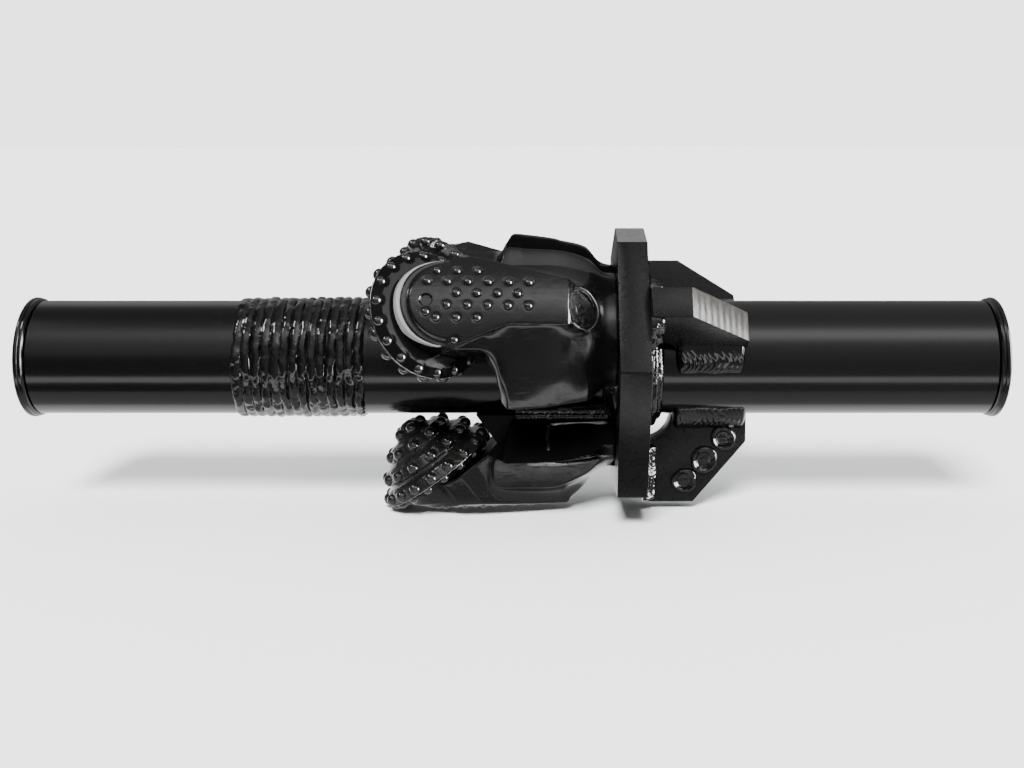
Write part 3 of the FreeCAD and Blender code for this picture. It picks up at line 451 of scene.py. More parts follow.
def make_mandrel():
    taper = 0.125
    mouth, counter, thread = 42.5, 45.25, 95.0
    shoulder = HALF_LENGTH - 16
    thread_end = shoulder - thread
    root = mouth - taper * thread
    half = [(HALF_LENGTH - 2, MANDREL_R), (HALF_LENGTH, MANDREL_R - 2), (HALF_LENGTH, counter),
            (shoulder, counter), (shoulder, mouth)]
    pitch = 6.35
    turns = int(thread / pitch) - 1
    for k in range(turns):
        x = shoulder - 4 - k * pitch
        r = mouth - taper * (shoulder - x)
        half += [(x, r), (x - 1.2, r), (x - 2.9, r + 2.2), (x - 3.9, r + 2.2)]
    half += [(thread_end, root), (thread_end - (root - 25.4), 25.4)]
    profile = half + [(-x, r) for x, r in reversed(half)]
    piece = revolve("mandrel_tube", profile, 256)
    finish_piece(piece, "mandrel_body", MATERIALS["mandrel"], "mandrel", slot="mandrel_paint")


def end_matrix(side):
    spin = Matrix.Rotation(0 if side > 0 else math.pi, 4, "Z")
    return Matrix.Translation((side * HALF_LENGTH, 0, 0)) @ spin


def make_protector(name, side):
    gasket = [(0, 50), (4.5, 50), (4.5, 59.5), (1.8, 59.5), (0, MANDREL_R)]
    piece = revolve("gasket_ring_" + name, rounded(gasket, 0.5, 2), 192, end_matrix(side))
    finish_piece(piece, f"gasket_{name}_body", MATERIALS["plastic"], "gasket_" + name,
                 slot="protector_plastic")
    face, top, rim = 4.5, 9.5, 60.5
    sleeve, plug = 44.25, 41.5
    profile = [(face, sleeve - 3), (face, rim - 0.8), (face + 0.8, rim), (top - 1.5, rim),
               (top, rim - 1.5), (top, sleeve - 5), (-15, plug - 5), (-92, 26.5),
               (-92, plug - 9.5), (-15, plug), (-15, sleeve), (-1, sleeve), (-1, sleeve - 3)]
    piece = revolve("protector_shell_" + name, rounded(profile, 0.7, 2), 192, end_matrix(side))
    finish_piece(piece, f"protector_{name}_body", MATERIALS["plastic"], "protector_" + name,
                 slot="protector_plastic")


# Hardfacing band: overlapping beads laid round the tube

def make_band():
    start, end = -277.0, -142.0
    count, pitch = 14, 9.2
    xs = np.linspace(start - 1, end + 1, 380)
    angles = np.linspace(0, 2 * math.pi, 560, endpoint=False)
    x, a = np.meshgrid(xs, angles, indexing="ij")
    ring = np.stack([np.zeros_like(a), np.cos(a) * MANDREL_R, np.sin(a) * MANDREL_R], -1)
    height = np.full_like(x, -0.6)
    for k in range(count):
        flat = ring + np.array([k * 31.0, 0, 0])
        middle = start + 7.0 + k * pitch + 1.9 * layered(flat, 26, 3) + 1.0 * noise(flat, 9, 8)
        middle = middle + 2.2 * np.sin(a + 2.2)
        width = 5.1 + 0.8 * noise(flat, 14, 21)
        crown = 3.4 + 1.1 * noise(flat, 9.5, 40) + 0.7 * noise(flat, 22, 57)
        t = (x - middle) / width + 0.16
        bead = crown * np.sqrt(np.clip(1 - t * t, 0, 1)) - 0.4 * (np.abs(t) > 1)
        height = np.maximum(height, np.where(np.abs(t) < 1, bead, -0.6))
    surface = np.stack([x, ring[..., 1], ring[..., 2]], -1)
    height = height + np.where(height > 0, 0.38 * layered(surface, 4.0, 77, 2), 0)
    radius = MANDREL_R + np.minimum(height, 4.05)
    outer = np.stack([x, np.sin(a) * radius, np.cos(a) * radius], -1)
    rows = [outer.reshape(-1, 3)]
    inner_r = MANDREL_R - 0.8
    for edge in (xs[-1], xs[0]):
        rows.append(np.stack([np.full_like(angles, edge), np.sin(angles) * inner_r,
                              np.cos(angles) * inner_r], -1))
    faces = grid_faces(len(xs) + 2, len(angles), closed_rows=True, closed_columns=True)
    piece = add_mesh("hardfacing_overlay", np.concatenate(rows), faces, 70)
    tidy(piece)
    shade(piece, 70)
    finish_piece(piece, "mandrel_body", MATERIALS["weld"], "hardfacing_band", slot="weld_metal")


# Weld beads

def weld_strip(stations, passes=1, bulge=1.6, ripple=0.45, pitch=2.4, lump=0.6, seed=0,
               taper=5.0, closed=False, across=22):
    """Fillet weld. stations are (corner, first toe, second toe) points in millimetres."""
    sink = 0.5
    corner, toe_a, toe_b = (np.array([s[k] for s in stations], float) for k in range(3))
    middle = (toe_a + toe_b) / 2
    steps = np.linalg.norm(np.roll(middle, -1, 0) - middle, axis=1)
    along = np.concatenate([[0], np.cumsum(steps[:-1])])
    length = along[-1]
    t = np.linspace(0, 1, across)[None, :, None]
    outward = middle - corner
    outward = outward / np.linalg.norm(outward, axis=1, keepdims=True)
    chord = toe_a[:, None] * (1 - t) + toe_b[:, None] * t
    tt = t[..., 0]
    shape = np.sin(math.pi * np.clip(tt, 0, 1)) ** 0.7 * bulge
    if passes > 1:
        shape = shape * 0.6 + np.abs(np.sin(passes * math.pi * tt)) ** 0.8 * bulge * 0.75
    key = np.stack([np.broadcast_to(along[:, None], chord.shape[:2]),
                    tt * 30 + np.zeros_like(chord[..., 0]),
                    np.full(chord.shape[:2], seed * 13.7)], -1)
    local = (tt * passes) % 1 - 0.5 if passes > 1 else tt - 0.5
    phase = along[:, None] / pitch + 2.2 * local ** 2 * 4 + 0.9 * noise(key, 11, seed + 3)
    wave = 0.5 - 0.5 * np.cos(2 * math.pi * phase)
    edge = np.sin(math.pi * tt) ** 0.5
    height = shape + edge * (ripple * wave ** 1.5 + lump * layered(key, 8, seed + 9))
    wobble = lump * 1.2 * noise(key, 13, seed + 30)
    side = (toe_b - toe_a) / np.linalg.norm(toe_b - toe_a, axis=1, keepdims=True)
    reach = (np.abs(tt - 0.5) * 2) ** 3
    points = chord + outward[:, None] * height[..., None] + side[:, None] * (
        np.sign(tt - 0.5) * reach * wobble)[..., None]
    if not closed:
        fade = np.sqrt(np.clip(1 - (1 - np.minimum(along, length - along) / taper).clip(0, 1) ** 2,
                               0, 1))[:, None, None]
        points = corner[:, None] + (points - corner[:, None]) * (0.12 + 0.88 * fade)
    back = corner - outward * sink
    loop = np.concatenate([points, back[:, None]], 1)
    rows, columns = loop.shape[:2]
    faces = grid_faces(rows, columns, closed_rows=closed, closed_columns=True)
    if not closed:
        faces.append(list(range(columns)))
        faces.append([(rows - 1) * columns + k for k in reversed(range(columns))])
    return loop.reshape(-1, 3), faces


def join_meshes(name, parts, smooth_angle=60):
    points, faces, start = [], [], 0
    for p, f in parts:
        points.append(p)
        faces += [[i + start for i in face] for face in f]
        start += len(p)
    piece = add_mesh(name, np.concatenate(points), faces, smooth_angle)
    tidy(piece, merge=1e-8)
    shade(piece, smooth_angle)
    return piece


def moved(points, matrix):
    m = np.array(matrix)
    return points @ m[:3, :3].T + m[:3, 3]


def make_weld(name, parts, node):
    finish_piece(join_meshes(name, parts), "mandrel_body", MATERIALS["weld"], node,
                 slot="weld_metal")


def along_x(xs, *points):
    """Stations of a weld that runs straight along x."""
    return [[point + [x, 0, 0] for point in points] for x in xs]


def placed(parts, index):
    """Parts given in a leg's frame, moved into the part's frame."""
    return [(moved(points, around(index)), faces) for points, faces in parts]


def on_joint(side, distance):
    """Point of the face where two legs meet, at x = 0 in the leg's frame."""
    a = math.radians(60)
    return np.array([0, side * distance * math.sin(a), LEG_OFFSET + distance * math.cos(a)])


def on_mandrel(side, degrees):
    """Point just inside the mandrel's surface, at x = 0 in the leg's frame."""
    a = math.radians(degrees)
    return np.array([0, side * MANDREL_R * math.sin(a), MANDREL_R * math.cos(a) - 0.4])


def make_plate_welds():
    stations = []
    for angle in np.linspace(0, 2 * math.pi, 300, endpoint=False):
        out = np.array([0, math.sin(angle), math.cos(angle)])
        corner = out * MANDREL_R + [PLATE_REAR, 0, 0]
        stations.append((corner, corner + [17.0, 0, 0] - out * 0.3,
                         corner + out * 17.5 - [0.3, 0, 0]))
    part = weld_strip(stations, passes=3, closed=True, seed=4, pitch=3.6, ripple=0.9,
                      lump=1.1, bulge=2.0)
    make_weld("plate_ring_weld_rear", [part], "plate_weld_rear")
    parts = []
    for k in range(3):
        stations = []
        for angle in np.radians(np.linspace(-25, 25, 60) + 120 * k):
            out = np.array([0, math.sin(angle), math.cos(angle)])
            corner = out * MANDREL_R + [PLATE_FRONT, 0, 0]
            stations.append((corner, corner - [13.2, 0, 0] - out * 0.3,
                             corner + out * 13.4 + [0.3, 0, 0]))
        parts.append(weld_strip(stations, passes=2, seed=11 + k, pitch=3.0))
    make_weld("plate_ring_weld_front", parts, "plate_weld_front")


def make_gusset_welds(index):
    parts = []
    for side in (-1, 1):
        start = PLATE_REAR + MOUSE_HOLE + 0.5
        end = PLATE_REAR + GUSSET_LENGTH[index] - 0.5
        low = on_mandrel(side, 37)
        corner = np.array([0, side * (GUSSET_HALF - 0.5), 54.0])
        high = np.array([0, side * (GUSSET_HALF - 0.2), MANDREL_R + 13.5])
        stations = along_x(np.linspace(start, end, 90), corner, low, high)
        parts.append(weld_strip(stations, bulge=3.4, ripple=0.9, pitch=5.2, lump=0.8,
                                seed=20 + index * 3 + side, taper=6))
        stations = []
        for z in np.linspace(MANDREL_R + MOUSE_HOLE + 1, GUSSET_TOP - 1.5, 80):
            wide = 11.5 + 1.2 * math.sin(z * 0.21 + index)
            corner = np.array([PLATE_REAR - 0.3, side * (GUSSET_HALF - 0.3), z])
            stations.append((corner, corner + [wide + 2, side * 0.1, 0],
                             corner + [0.1, side * wide, 0]))
        parts.append(weld_strip(stations, passes=2, bulge=1.8, ripple=0.9, pitch=4.4,
                                lump=1.1, seed=50 + index * 5 + side))
    if index == 2:
        parts += deposits()
    make_weld(f"gusset_bead_{index}", placed(parts, index), f"gusset_weld_{index}")


def deposits():
    """Three plain rings of weld metal on the flat side of the lower rib."""
    return [puddle((x, GUSSET_HALF - 0.2, z), radius, 3.9, seed=80 + k)
            for k, (x, z, radius) in enumerate((
                (173, 125, 13.225), (193, 103.6, 14.375), (212, 81, 13.225)))]


def puddle(centre, radius, height, seed):
    """Ring of weld metal with a sunk middle, on a face that looks along +y."""
    rings, turns = 40, 96
    share = np.linspace(0.02, 1, rings)
    angles = np.linspace(0, 2 * math.pi, turns, endpoint=False)
    r, a = np.meshgrid(share, angles, indexing="ij")
    flat_x, flat_z = np.cos(a) * r * radius, np.sin(a) * r * radius
    key = np.stack([flat_x, flat_z, np.full_like(r, seed * 9.1)], -1)
    wobble = 1 + 0.10 * noise(key, 9, seed) * r
    swell = np.interp(r, [0, 0.12, 0.3, 0.5, 0.62, 0.78, 0.9, 0.97, 1],
                      [1.3, 1.2, 0.7, 1.0, 2.4, height, 3.0, 1.6, 0])
    lump = (0.5 * layered(key, 6, seed + 5) + 0.25 * noise(key, 2.5, seed + 6)) * (1 - r ** 6)
    points = np.stack([centre[0] + flat_x * wobble, centre[1] + np.maximum(swell + lump, 0.0),
                       centre[2] + flat_z * wobble], -1).reshape(-1, 3)
    points = np.concatenate([points, points[-turns:] - [0, 0.8, 0]])
    faces = grid_faces(rings + 1, turns, closed_columns=True)
    faces.append(list(range(turns)))
    faces.append([rings * turns + k for k in reversed(range(turns))])
    return points, faces


def make_leg_welds(index):
    parts = []
    for side in (-1, 1):
        stations = along_x(np.linspace(-1.5, 101, 120), on_joint(side, 16),
                           on_mandrel(side, 35), on_joint(side, 34))
        parts.append(weld_strip(stations, passes=2, bulge=1.4, ripple=0.6, pitch=4.0,
                                lump=0.8, seed=90 + index * 3 + side, taper=6))
    make_weld(f"leg_bead_{index}", placed(parts, index), f"leg_weld_{index}")


def make_tacks():
    """Thin weld lines on the near side of the lower leg, painted bright as a highlight."""
    share = np.linspace(0, 1, 60)
    upright = [on_joint(1, 38 + 38 * t) + [35 + 0.6 * math.sin(9 * t), 0, 0] for t in share]
    level = [on_joint(1, 38 - 2.5 * t) + [36 + 61 * t, 0, 0] for t in share]
    low = [np.array([14 + 74 * t, np.interp(t, [0, 0.45, 0.75, 1], [79.5, 78.5, 68, 50.5]), 91.4])
           for t in share]
    parts = []
    for k, (run, out, aside) in enumerate((
            (upright, (0, JOINT_COS, -JOINT_SIN), (2.2, 0, 0)),
            (level, (0, JOINT_COS, -JOINT_SIN), (0, 1.4, 0.8)),
            (low, (0, 0.8, 0.6), (0, -0.9, 1.3)))):
        stations = [(spot - np.array(out) * 1.6, spot + aside, spot - aside) for spot in run]
        parts.append(weld_strip(stations, bulge=1.6, ripple=0.6, pitch=3.0, lump=0.7,
                                seed=130 + k, taper=6, across=12))
    piece = join_meshes("leg_tacks_2", placed(parts, 2))
    # Painted highlight: the tacks take the light edge metal so that they show bright in shade
    finish_piece(piece, "mandrel_body", MATERIALS["edge"], slot="weld_metal")


# Plate and ribs

def mark_faces(piece, material, picks):
    """Give a further material to the faces that picks(centre, normal) chooses."""
    piece.data.materials.append(material)
    slot = len(piece.data.materials) - 1
    for face in piece.data.polygons:
        if picks(face.center / MM, face.normal):
            face.material_index = slot


def make_plate():
    piece = bevelled("support_plate", "corner_plate", 1.2)
    finish_piece(piece, "mandrel_body", MATERIALS["plate"], "support_plate", slot="plate_steel")
    # Painted light on the plate's upward faces
    mark_faces(piece, MATERIALS["cut"], lambda centre, normal: normal.z > 0.93)


def make_gusset(index):
    piece = bevelled(f"gusset_{index}", f"rib_{index}", 1.0)
    finish_piece(piece, "mandrel_body", MATERIALS["plate"], f"gusset_{index}", slot="plate_steel")
    out = around(index).to_3x3().col[2]
    # Painted reflection on the sloped cut face
    mark_faces(piece, MATERIALS["sawn_sheen"],
               lambda centre, normal: normal.x > 0.3 and normal.dot(out) > 0.3)


# Legs

PAD_FALL = PAD_DROP / PAD_LENGTH


def pad_radius(x):
    """Radius of the pad's turned outside about the leg's own axis."""
    return PAD_TOP - LEG_OFFSET - PAD_FALL * np.clip(x - PAD_START, 0, PAD_LENGTH)


def joint_distance(y, z):
    """Distance from the leg's faces that meet the other legs."""
    return JOINT_SIN * (z - LEG_OFFSET) - JOINT_COS * np.abs(y)


def from_stud(points, place):
    """Height over a stud's foot and distance from its axis."""
    axis = np.array(place.to_3x3().col[2])
    offset = points - np.array(place.translation)
    height = offset @ axis
    return height, np.linalg.norm(offset - height[:, None] * axis, axis=1)


def round_body(piece, turn):
    """Round the cast body, but not the pad, the joint faces, the cap's seat and the ends."""
    points = coords(piece) @ turn
    x, y, z = points.T
    depth = pad_radius(x) - np.hypot(y, z - LEG_OFFSET)
    joint = joint_distance(y, z)
    axis = np.array(CAP_AXIS)
    from_cap = points - np.array(CAP_PLACE)
    across = np.linalg.norm(from_cap - (from_cap @ axis)[:, None] * axis, axis=1)
    weight = (smoothstep(2.5, 8, depth) * smoothstep(-24, -14, x) * smoothstep(0.6, 3, joint)
              * smoothstep(21, 27, across) * smoothstep(SHOULDER_X, 97, x))
    relax(piece, 320, weight=weight)


def cut_sides(piece, turn):
    """Raise the outer corner of one joint face and cut the other side back to the nose."""
    x, y, z = (coords(piece) @ turn).T
    reach = -JOINT_SIN * y + JOINT_COS * (z - LEG_OFFSET)
    joint = joint_distance(y, z)
    rise = np.interp(x, [-7, -2, 16, 32, 47, 62, 73, 83, 90, 98],
                     [0, 5, 3.7, 1.8, 0, 3.5, 5.5, 5, 4, 0])
    rise = rise * smoothstep(60, 88, reach) * smoothstep(30, 4, joint) * (y < 0)
    y, z = y - JOINT_SIN * rise, z + JOINT_COS * rise
    nose_half, body_half = 48, 88
    ledge = nose_half + (body_half - nose_half) * smoothstep(94.5, 91.0, z + 0.03 * x)
    y = np.minimum(y, np.where(x > -20, ledge, 90))
    set_coords(piece, np.stack([x, y, z], -1) @ turn.T)
    raised = smoothstep(45, 60, reach) * (y < 0) * smoothstep(-24, -14, x)
    cut = smoothstep(44, 47, y) * smoothstep(84, 90, z) * smoothstep(-14, -4, x)
    relax(piece, 14, weight=(raised + cut) * smoothstep(SHOULDER_X, 97, x))


def dimples(points):
    """Depth of the round dimples in which the wear buttons stand."""
    depth = np.zeros(len(points))
    for place in button_places():
        height, away = from_stud(points, place)
        inside = smoothstep(BUTTON_R + 1.2, BUTTON_R + 0.2, away) * (np.abs(height) < 6)
        depth = np.maximum(depth, 0.9 * inside)
    return depth


def cut_nose(piece, turn, bright):
    """Cut the lip and groove round the nose, and paint a light highlight on the lip where bright
    is set.
    """
    points = coords(piece) @ turn
    x, y, z = points.T
    lean_cos, lean_sin = math.cos(JOURNAL_ANGLE), math.sin(JOURNAL_ANGLE)
    along = (x - HEEL_X) * lean_cos - (z - HEEL_Z) * lean_sin
    above = (x - HEEL_X) * lean_sin + (z - HEEL_Z) * lean_cos
    spread = y - NOSE_Y
    ahead = np.minimum(along, 0)
    inset = np.where(along < 3, NOSE_R - np.hypot(spread, ahead), 60.0)
    facing = np.clip(-along / NOSE_R, 0, 1)
    step = inset - np.where(spread < 0, 1.2 + 4.6 * facing, 1.6 + 4.4 * facing)
    drop = np.interp(step, [0, 0.8, 1.8, 2.8, 5.2, 6.6, 7.6, 9.0],
                     [2.9, 2.1, 2.0, 2.8, 3.2, 2.2, 0.4, 0.0])
    drop = np.maximum(drop * smoothstep(3, -6, along) * (above > 0.2), dimples(points))

    nose_r = 43.2
    tight = np.where((along < 3) & (above > -0.5),
                     np.minimum(1, nose_r / np.maximum(NOSE_R - inset, 1)), 1.0)
    inward = (1 - tight) * ahead
    x, z = x - inward * lean_cos, z + inward * lean_sin
    y = NOSE_Y + spread * tight
    radius = np.hypot(y, z - LEG_OFFSET)
    limit = pad_radius(x) - drop
    shrink = np.where((radius > limit) & (drop > 0.02), limit / np.maximum(radius, 1), 1.0)
    z = LEG_OFFSET + (z - LEG_OFFSET) * shrink
    set_coords(piece, np.stack([x, y * shrink, z], -1) @ turn.T)
    relax(piece, 2, weight=smoothstep(3, -3, along) * (above > 0.5) * (drop > 0.02))

    below = pad_radius(x) - np.hypot(y, z - LEG_OFFSET)
    lowest = np.where(y < NOSE_Y, 4.6 + 7 * facing ** 2, 20)
    # Painted highlight on the lip: light grey where the nose catches light, narrower on its lower
    # side
    painted_highlight = np.clip(0.5 - (0.2 + step) / 4, 0, 1) * smoothstep(2, -8, along) * (above > 0.4)
    painted_highlight = painted_highlight * smoothstep(lowest + 1, lowest, below) * bright
    mark = piece.data.attributes.new("painted_highlight", "FLOAT", "POINT")
    mark.data.foreach_set("value", painted_highlight.astype(np.float32))


def throat_web(matrix):
    """Web between the mandrel and the pad's root, hollowed where the cone turns."""
    clear, half, lean = 69.4, 27, JOURNAL_ANGLE
    ys, zs = np.linspace(-half, half, 37), np.linspace(55.0, 97.0, 31)
    y, z = np.meshgrid(ys, zs, indexing="ij")
    reach = np.sqrt(clear ** 2 - y ** 2)
    x = (reach - (HEEL_Z - z) * math.sin(lean)) / math.cos(lean) + HEEL_X
    x = np.minimum(x + 5 * np.clip(np.abs(y) / half, 0, 1) ** 6, -3.0)
    front = np.stack([x, y, z], -1)
    rear = np.stack([np.full_like(x, 4.0), y, z], -1)
    points = moved(np.concatenate([front.reshape(-1, 3), rear.reshape(-1, 3)]), matrix)
    rows, columns = x.shape
    faces = grid_faces(rows, columns) + grid_faces(rows, columns, start=rows * columns)
    rim = ([(0, j) for j in range(columns)] + [(i, columns - 1) for i in range(1, rows)]
           + [(rows - 1, j) for j in range(columns - 2, -1, -1)]
           + [(i, 0) for i in range(rows - 2, 0, -1)])
    ids = [i * columns + j for i, j in rim]
    for a, b in zip(ids, ids[1:] + ids[:1]):
        faces.append([a, b, b + rows * columns, a + rows * columns])
    return points, faces


def make_leg(index):
    inward = in_metres(cone_matrix(index))
    back = inward.inverted()

    def drop_journal(piece):
        piece.data.transform(back)
        points = coords(piece)
        r = np.hypot(points[:, 1], points[:, 2])
        inside = (points[:, 0] > 0.2) & (r < 31)
        points[inside, 0] = 0.0
        set_coords(piece, points)
        piece.data.transform(inward)

    piece = forged(f"leg_{index}", f"leg_forging_{index}", 1.0, rounds=3, lump=0.15,
                   lump_scale=9, seed=index, prepare=drop_journal)
    turn = np.array(around(index))[:3, :3]
    round_body(piece, turn)
    cut_sides(piece, turn)
    # Legs 1 and 3 get the painted highlight on the lip, the lower leg none
    cut_nose(piece, turn, bright=index != 2)
    finish_piece(piece, "mandrel_body", MATERIALS["leg"], f"leg_{index}", slot="leg_steel")

    # Painted shade: the faces of the cone's pocket take the dull throat material
    journal = cone_matrix(index).to_3x3().col[0]
    mark_faces(piece, MATERIALS["throat"], lambda centre, normal: normal.dot(journal) > 0.6)

    # The web is drawn in the same painted shade
    web = join_meshes(f"leg_web_{index}", [throat_web(around(index))], 50)
    finish_piece(web, "mandrel_body", MATERIALS["throat"], slot="leg_steel")

    circle, ball, gap, race = 25.5, 5.0, 0.05, 39.0
    profile = [(-10, 0), (57.5, 0), (57.5, 13), (45, 13), (45, 24), (race + ball * 0.98, 24),
               (race + ball * 0.6, circle - ball - gap), (race - ball * 0.6, circle - ball - gap),
               (race - ball * 0.98, 24), (-10, 24)]
    pin = revolve(f"leg_journal_{index}", profile, 96, cone_matrix(index))
    finish_piece(pin, "mandrel_body", MATERIALS["steel"], slot="leg_steel")


# Buttons and inserts

def dome(radius, height, base=-0.6):
    """Points and faces of a ball-topped stud of the given height standing on z = 0."""
    sides, steps = 24, 8
    middle = height - radius
    profile = [(radius, min(base, middle - 0.2)), (radius, middle)]
    for k in range(1, steps + 1):
        a = math.pi / 2 * k / steps
        profile.append((radius * math.cos(a), middle + radius * math.sin(a)))
    turns = np.linspace(0, 2 * math.pi, sides, endpoint=False)
    points = [[r * math.cos(t), r * math.sin(t), z] for r, z in profile[:-1] for t in turns]
    faces = grid_faces(len(profile) - 1, sides, closed_columns=True)
    points.append([0, 0, profile[-1][1]])
    top = len(points) - 1
    last = (len(profile) - 2) * sides
    faces += [[last + k, last + (k + 1) % sides, top] for k in range(sides)]
    faces.append(list(reversed(range(sides))))
    return np.array(points), faces


# The cone's lands as (x, r, x, r) of their edges, with the inserts that stand on each
LANDS = [(9.5, 63, 19, 57.5), (26, 53, 36, 47), (42.5, 38, 52, 29.5), (57, 17.5, 63.5, 10.5)]
INSERT_COUNTS = (18, 14, 10, 5)
INSERT_PHASES = (0.5, 0, 0.5, 0)


def stand(x, r, normal):
    """Matrix that puts a stud at (x, 0, r) with its axis along normal (x, r)."""
    spin = Vector((0, 0, 1)).rotation_difference(Vector((normal[0], 0, normal[1])).normalized())
    return Matrix.Translation((x, 0, r)) @ spin.to_matrix().to_4x4()


def insert_places():
    """Matrices of the cone's inserts in the cone's frame, with their radius and height."""
    places = []
    for (x0, r0, x1, r1), count, phase in zip(LANDS, INSERT_COUNTS, INSERT_PHASES):
        normal = (r0 - r1, x1 - x0)
        for i in range(count):
            spin = turn_x(360 * (i + phase) / count)
            places.append((spin @ stand((x0 + x1) / 2, (r0 + r1) / 2, normal), 6.25, 4.8))
    gauge_count = 18
    for i in range(gauge_count):
        spin = turn_x(360 * i / gauge_count)
        places.append((spin @ stand(4.25, 58.65, (-9.3, 6.9)), 5.5, 2.4))
    return places


def make_cone_inserts(index):
    parts = []
    for matrix, radius, height in insert_places():
        points, faces = dome(radius, height)
        parts.append((moved(points, cone_matrix(index) @ matrix), faces))
    piece = join_meshes(f"cone_teeth_{index}", parts, 45)
    finish_piece(piece, f"cone_{index}", MATERIALS["insert"], f"cone_inserts_{index}",
                 slot="carbide")


def make_cone(index):
    outside = [(0.8, 54), (7.7, 63.3), (9.5, 63), (19, 57.5), (21, 51), (25, 50), (26, 53),
               (36, 47), (38, 40.5), (41.5, 37), (42.5, 38), (52, 29.5), (53.5, 21), (56, 18.3),
               (57, 17.5), (63.5, 10.5), (67.5, 4)]
    radii = [0.5, 1.3, 0.8, 1.5, 1.5, 1.5, 1.5, 1.5, 1.5, 1.5, 1.5, 1.5, 1.5, 1, 1.5, 2, 1.5]
    inside = [(67.5, 0), (58.5, 0), (58.5, 13.05), (47.1, 13.05), (47.1, 27.05), (43.9, 27.05),
              (42, 30.55), (36, 30.55), (34.1, 27.05), (7, 27.05), (7, 29), (2, 29), (2, 25),
              (0.8, 25)]
    profile = rounded(outside, radii, 4) + inside
    dense = []
    for (x0, r0), (x1, r1) in zip(profile, profile[1:] + profile[:1]):
        span = math.hypot(x1 - x0, r1 - r0)
        steps = max(1, int(span / 1.3)) if min(r0, r1) > 3 and x0 < 67.6 else 1
        dense += [(x0 + (x1 - x0) * k / steps, r0 + (r1 - r0) * k / steps) for k in range(steps)]
    piece = revolve(f"cone_shell_{index}", dense, 220, smooth_angle=38)
    points = coords(piece)
    outer = (np.hypot(points[:, 1], points[:, 2]) > 31.2) | (points[:, 0] > 59)
    dip = np.zeros(len(points))
    for matrix, radius, _ in insert_places():
        height, away = from_stud(points, matrix)
        ring = np.exp(-((away - radius - 0.9) / 0.8) ** 2) * (np.abs(height) < 4)
        dip = np.maximum(dip, ring)
    set_coords(piece, points - normals(piece) * (dip * outer * 0.55)[:, None])
    piece.data.transform(in_metres(cone_matrix(index)))
    finish_piece(piece, f"cone_{index}", MATERIALS["cone"], f"cone_{index}", slot="cone_steel")
    # Painted shade on the cone's back face
    back = cone_matrix(index).inverted()
    mark_faces(piece, MATERIALS["cone_back_shade"], lambda centre, normal: (back @ centre).x < 8.6)
    # Painted highlight: a thin light ring along the heel's corner
    mark_faces(piece, MATERIALS["edge"],
               lambda centre, normal: 7.1 < (back @ centre).x < 8.3
               and (back @ centre).yz.length > 62.4)


def button_places():
    """Matrices of the pad's wear buttons in the leg's frame."""
    pitch, row_pitch = 18.8, 12.2
    # (row round the pad, place of the first button in pitches, buttons)
    rows = [(2, 0.45, 3), (1, 0, 6), (0, 1.45, 4), (-1, 1, 5), (-1.58, 0, 1),
            (-2, 0.5, 3), (-3.73, 1.4, 1)]
    for row, start, count in rows:
        for i in range(count):
            x = HEEL_X - 4.3 + (start + i) * pitch
            r = float(pad_radius(x))
            lean = turn_x(-math.degrees((row * row_pitch + 7.7) / r))
            yield Matrix.Translation((0, 0, LEG_OFFSET)) @ lean @ stand(x, r, (PAD_FALL, 1))


def make_buttons(index):
    parts = []
    for place in button_places():
        points, faces = dome(BUTTON_R, 1.7, base=-3.0)
        parts.append((moved(points, around(index) @ place), faces))
    piece = join_meshes(f"pad_studs_{index}", parts, 50)
    finish_piece(piece, "mandrel_body", MATERIALS["insert"], f"leg_buttons_{index}",
                 slot="carbide")


# Build everything

make_mandrel()
make_band()
make_plate()
make_plate_welds()
for number in LEGS:
    make_gusset(number)
    make_gusset_welds(number)
    make_leg(number)
    make_leg_welds(number)
    make_buttons(number)
    make_cone(number)
    make_cone_inserts(number)
make_tacks()
make_protector("front", -1)
make_protector("rear", 1)

for stem, key in (("journal_bushing", "bronze"), ("thrust_washer", "bronze"),
                  ("ball_bearings", "steel"), ("ball_plug", "leg"), ("snap_ring", "leg"),
                  ("seal_ring", "rubber"), ("compensator_diaphragm", "rubber"),
                  ("compensator_cap", "leg")):
    for number in LEGS:
        node = NODES[f"{stem}_{number}"]
        node.data.materials.clear()
        node.data.materials.append(MATERIALS[key])


# Floor, backdrop, light and camera

FLOOR_Z = -155.6

# Reflected band as (share, strength): in front 0, straight up 0.5 and behind 1
BAND_TOP = 4.0
BAND_LEFT = [(0.0, 0.15), (0.05, 0.25), (0.1, 0.65), (0.2, 0.75), (0.27, 1.3), (0.33, 1.5),
             (0.39, 0.5), (0.5, 0.25), (0.7, 0.15), (0.8, 0.9), (0.9, 0.4), (1.0, 0.3)]
BAND_RIGHT = [(0.0, 0.35), (0.06, 0.5), (0.2, 0.6), (0.26, 2.2), (0.3, 3.4), (0.35, 2.6),
              (0.4, 0.8), (0.5, 0.5), (0.7, 0.4), (0.8, 0.3), (0.9, 0.3), (1.0, 0.3)]

# Reflected lamps: direction, radius in degrees and strength
LAMPS = [((0.95, -0.25, 0.17), 18, 42.0), ((0.93, -0.22, 0.52), 9, 20.0),
         ((0.93, -0.3, -0.22), 9, 20.0), ((-0.654, -0.146, 0.742), 6, 24.0)]

# Camera: size of the photograph's frame, focal length and centre, all in its pixels
FRAME_WIDTH, FRAME_HEIGHT = 1024, 768
FOCAL, CENTRE_X, CENTRE_Y = 1361, 555.8, 283


def floor_paper():
    material, tree, surface = empty_material("floor_paper")
    shader = add_node(tree, "BsdfPrincipled", {
        "Roughness": 0.9, "Specular IOR Level": 0.0, "Base Color": (0.79, 0.80, 0.81, 1)})
    tree.links.new(shader.outputs["BSDF"], surface)
    return material


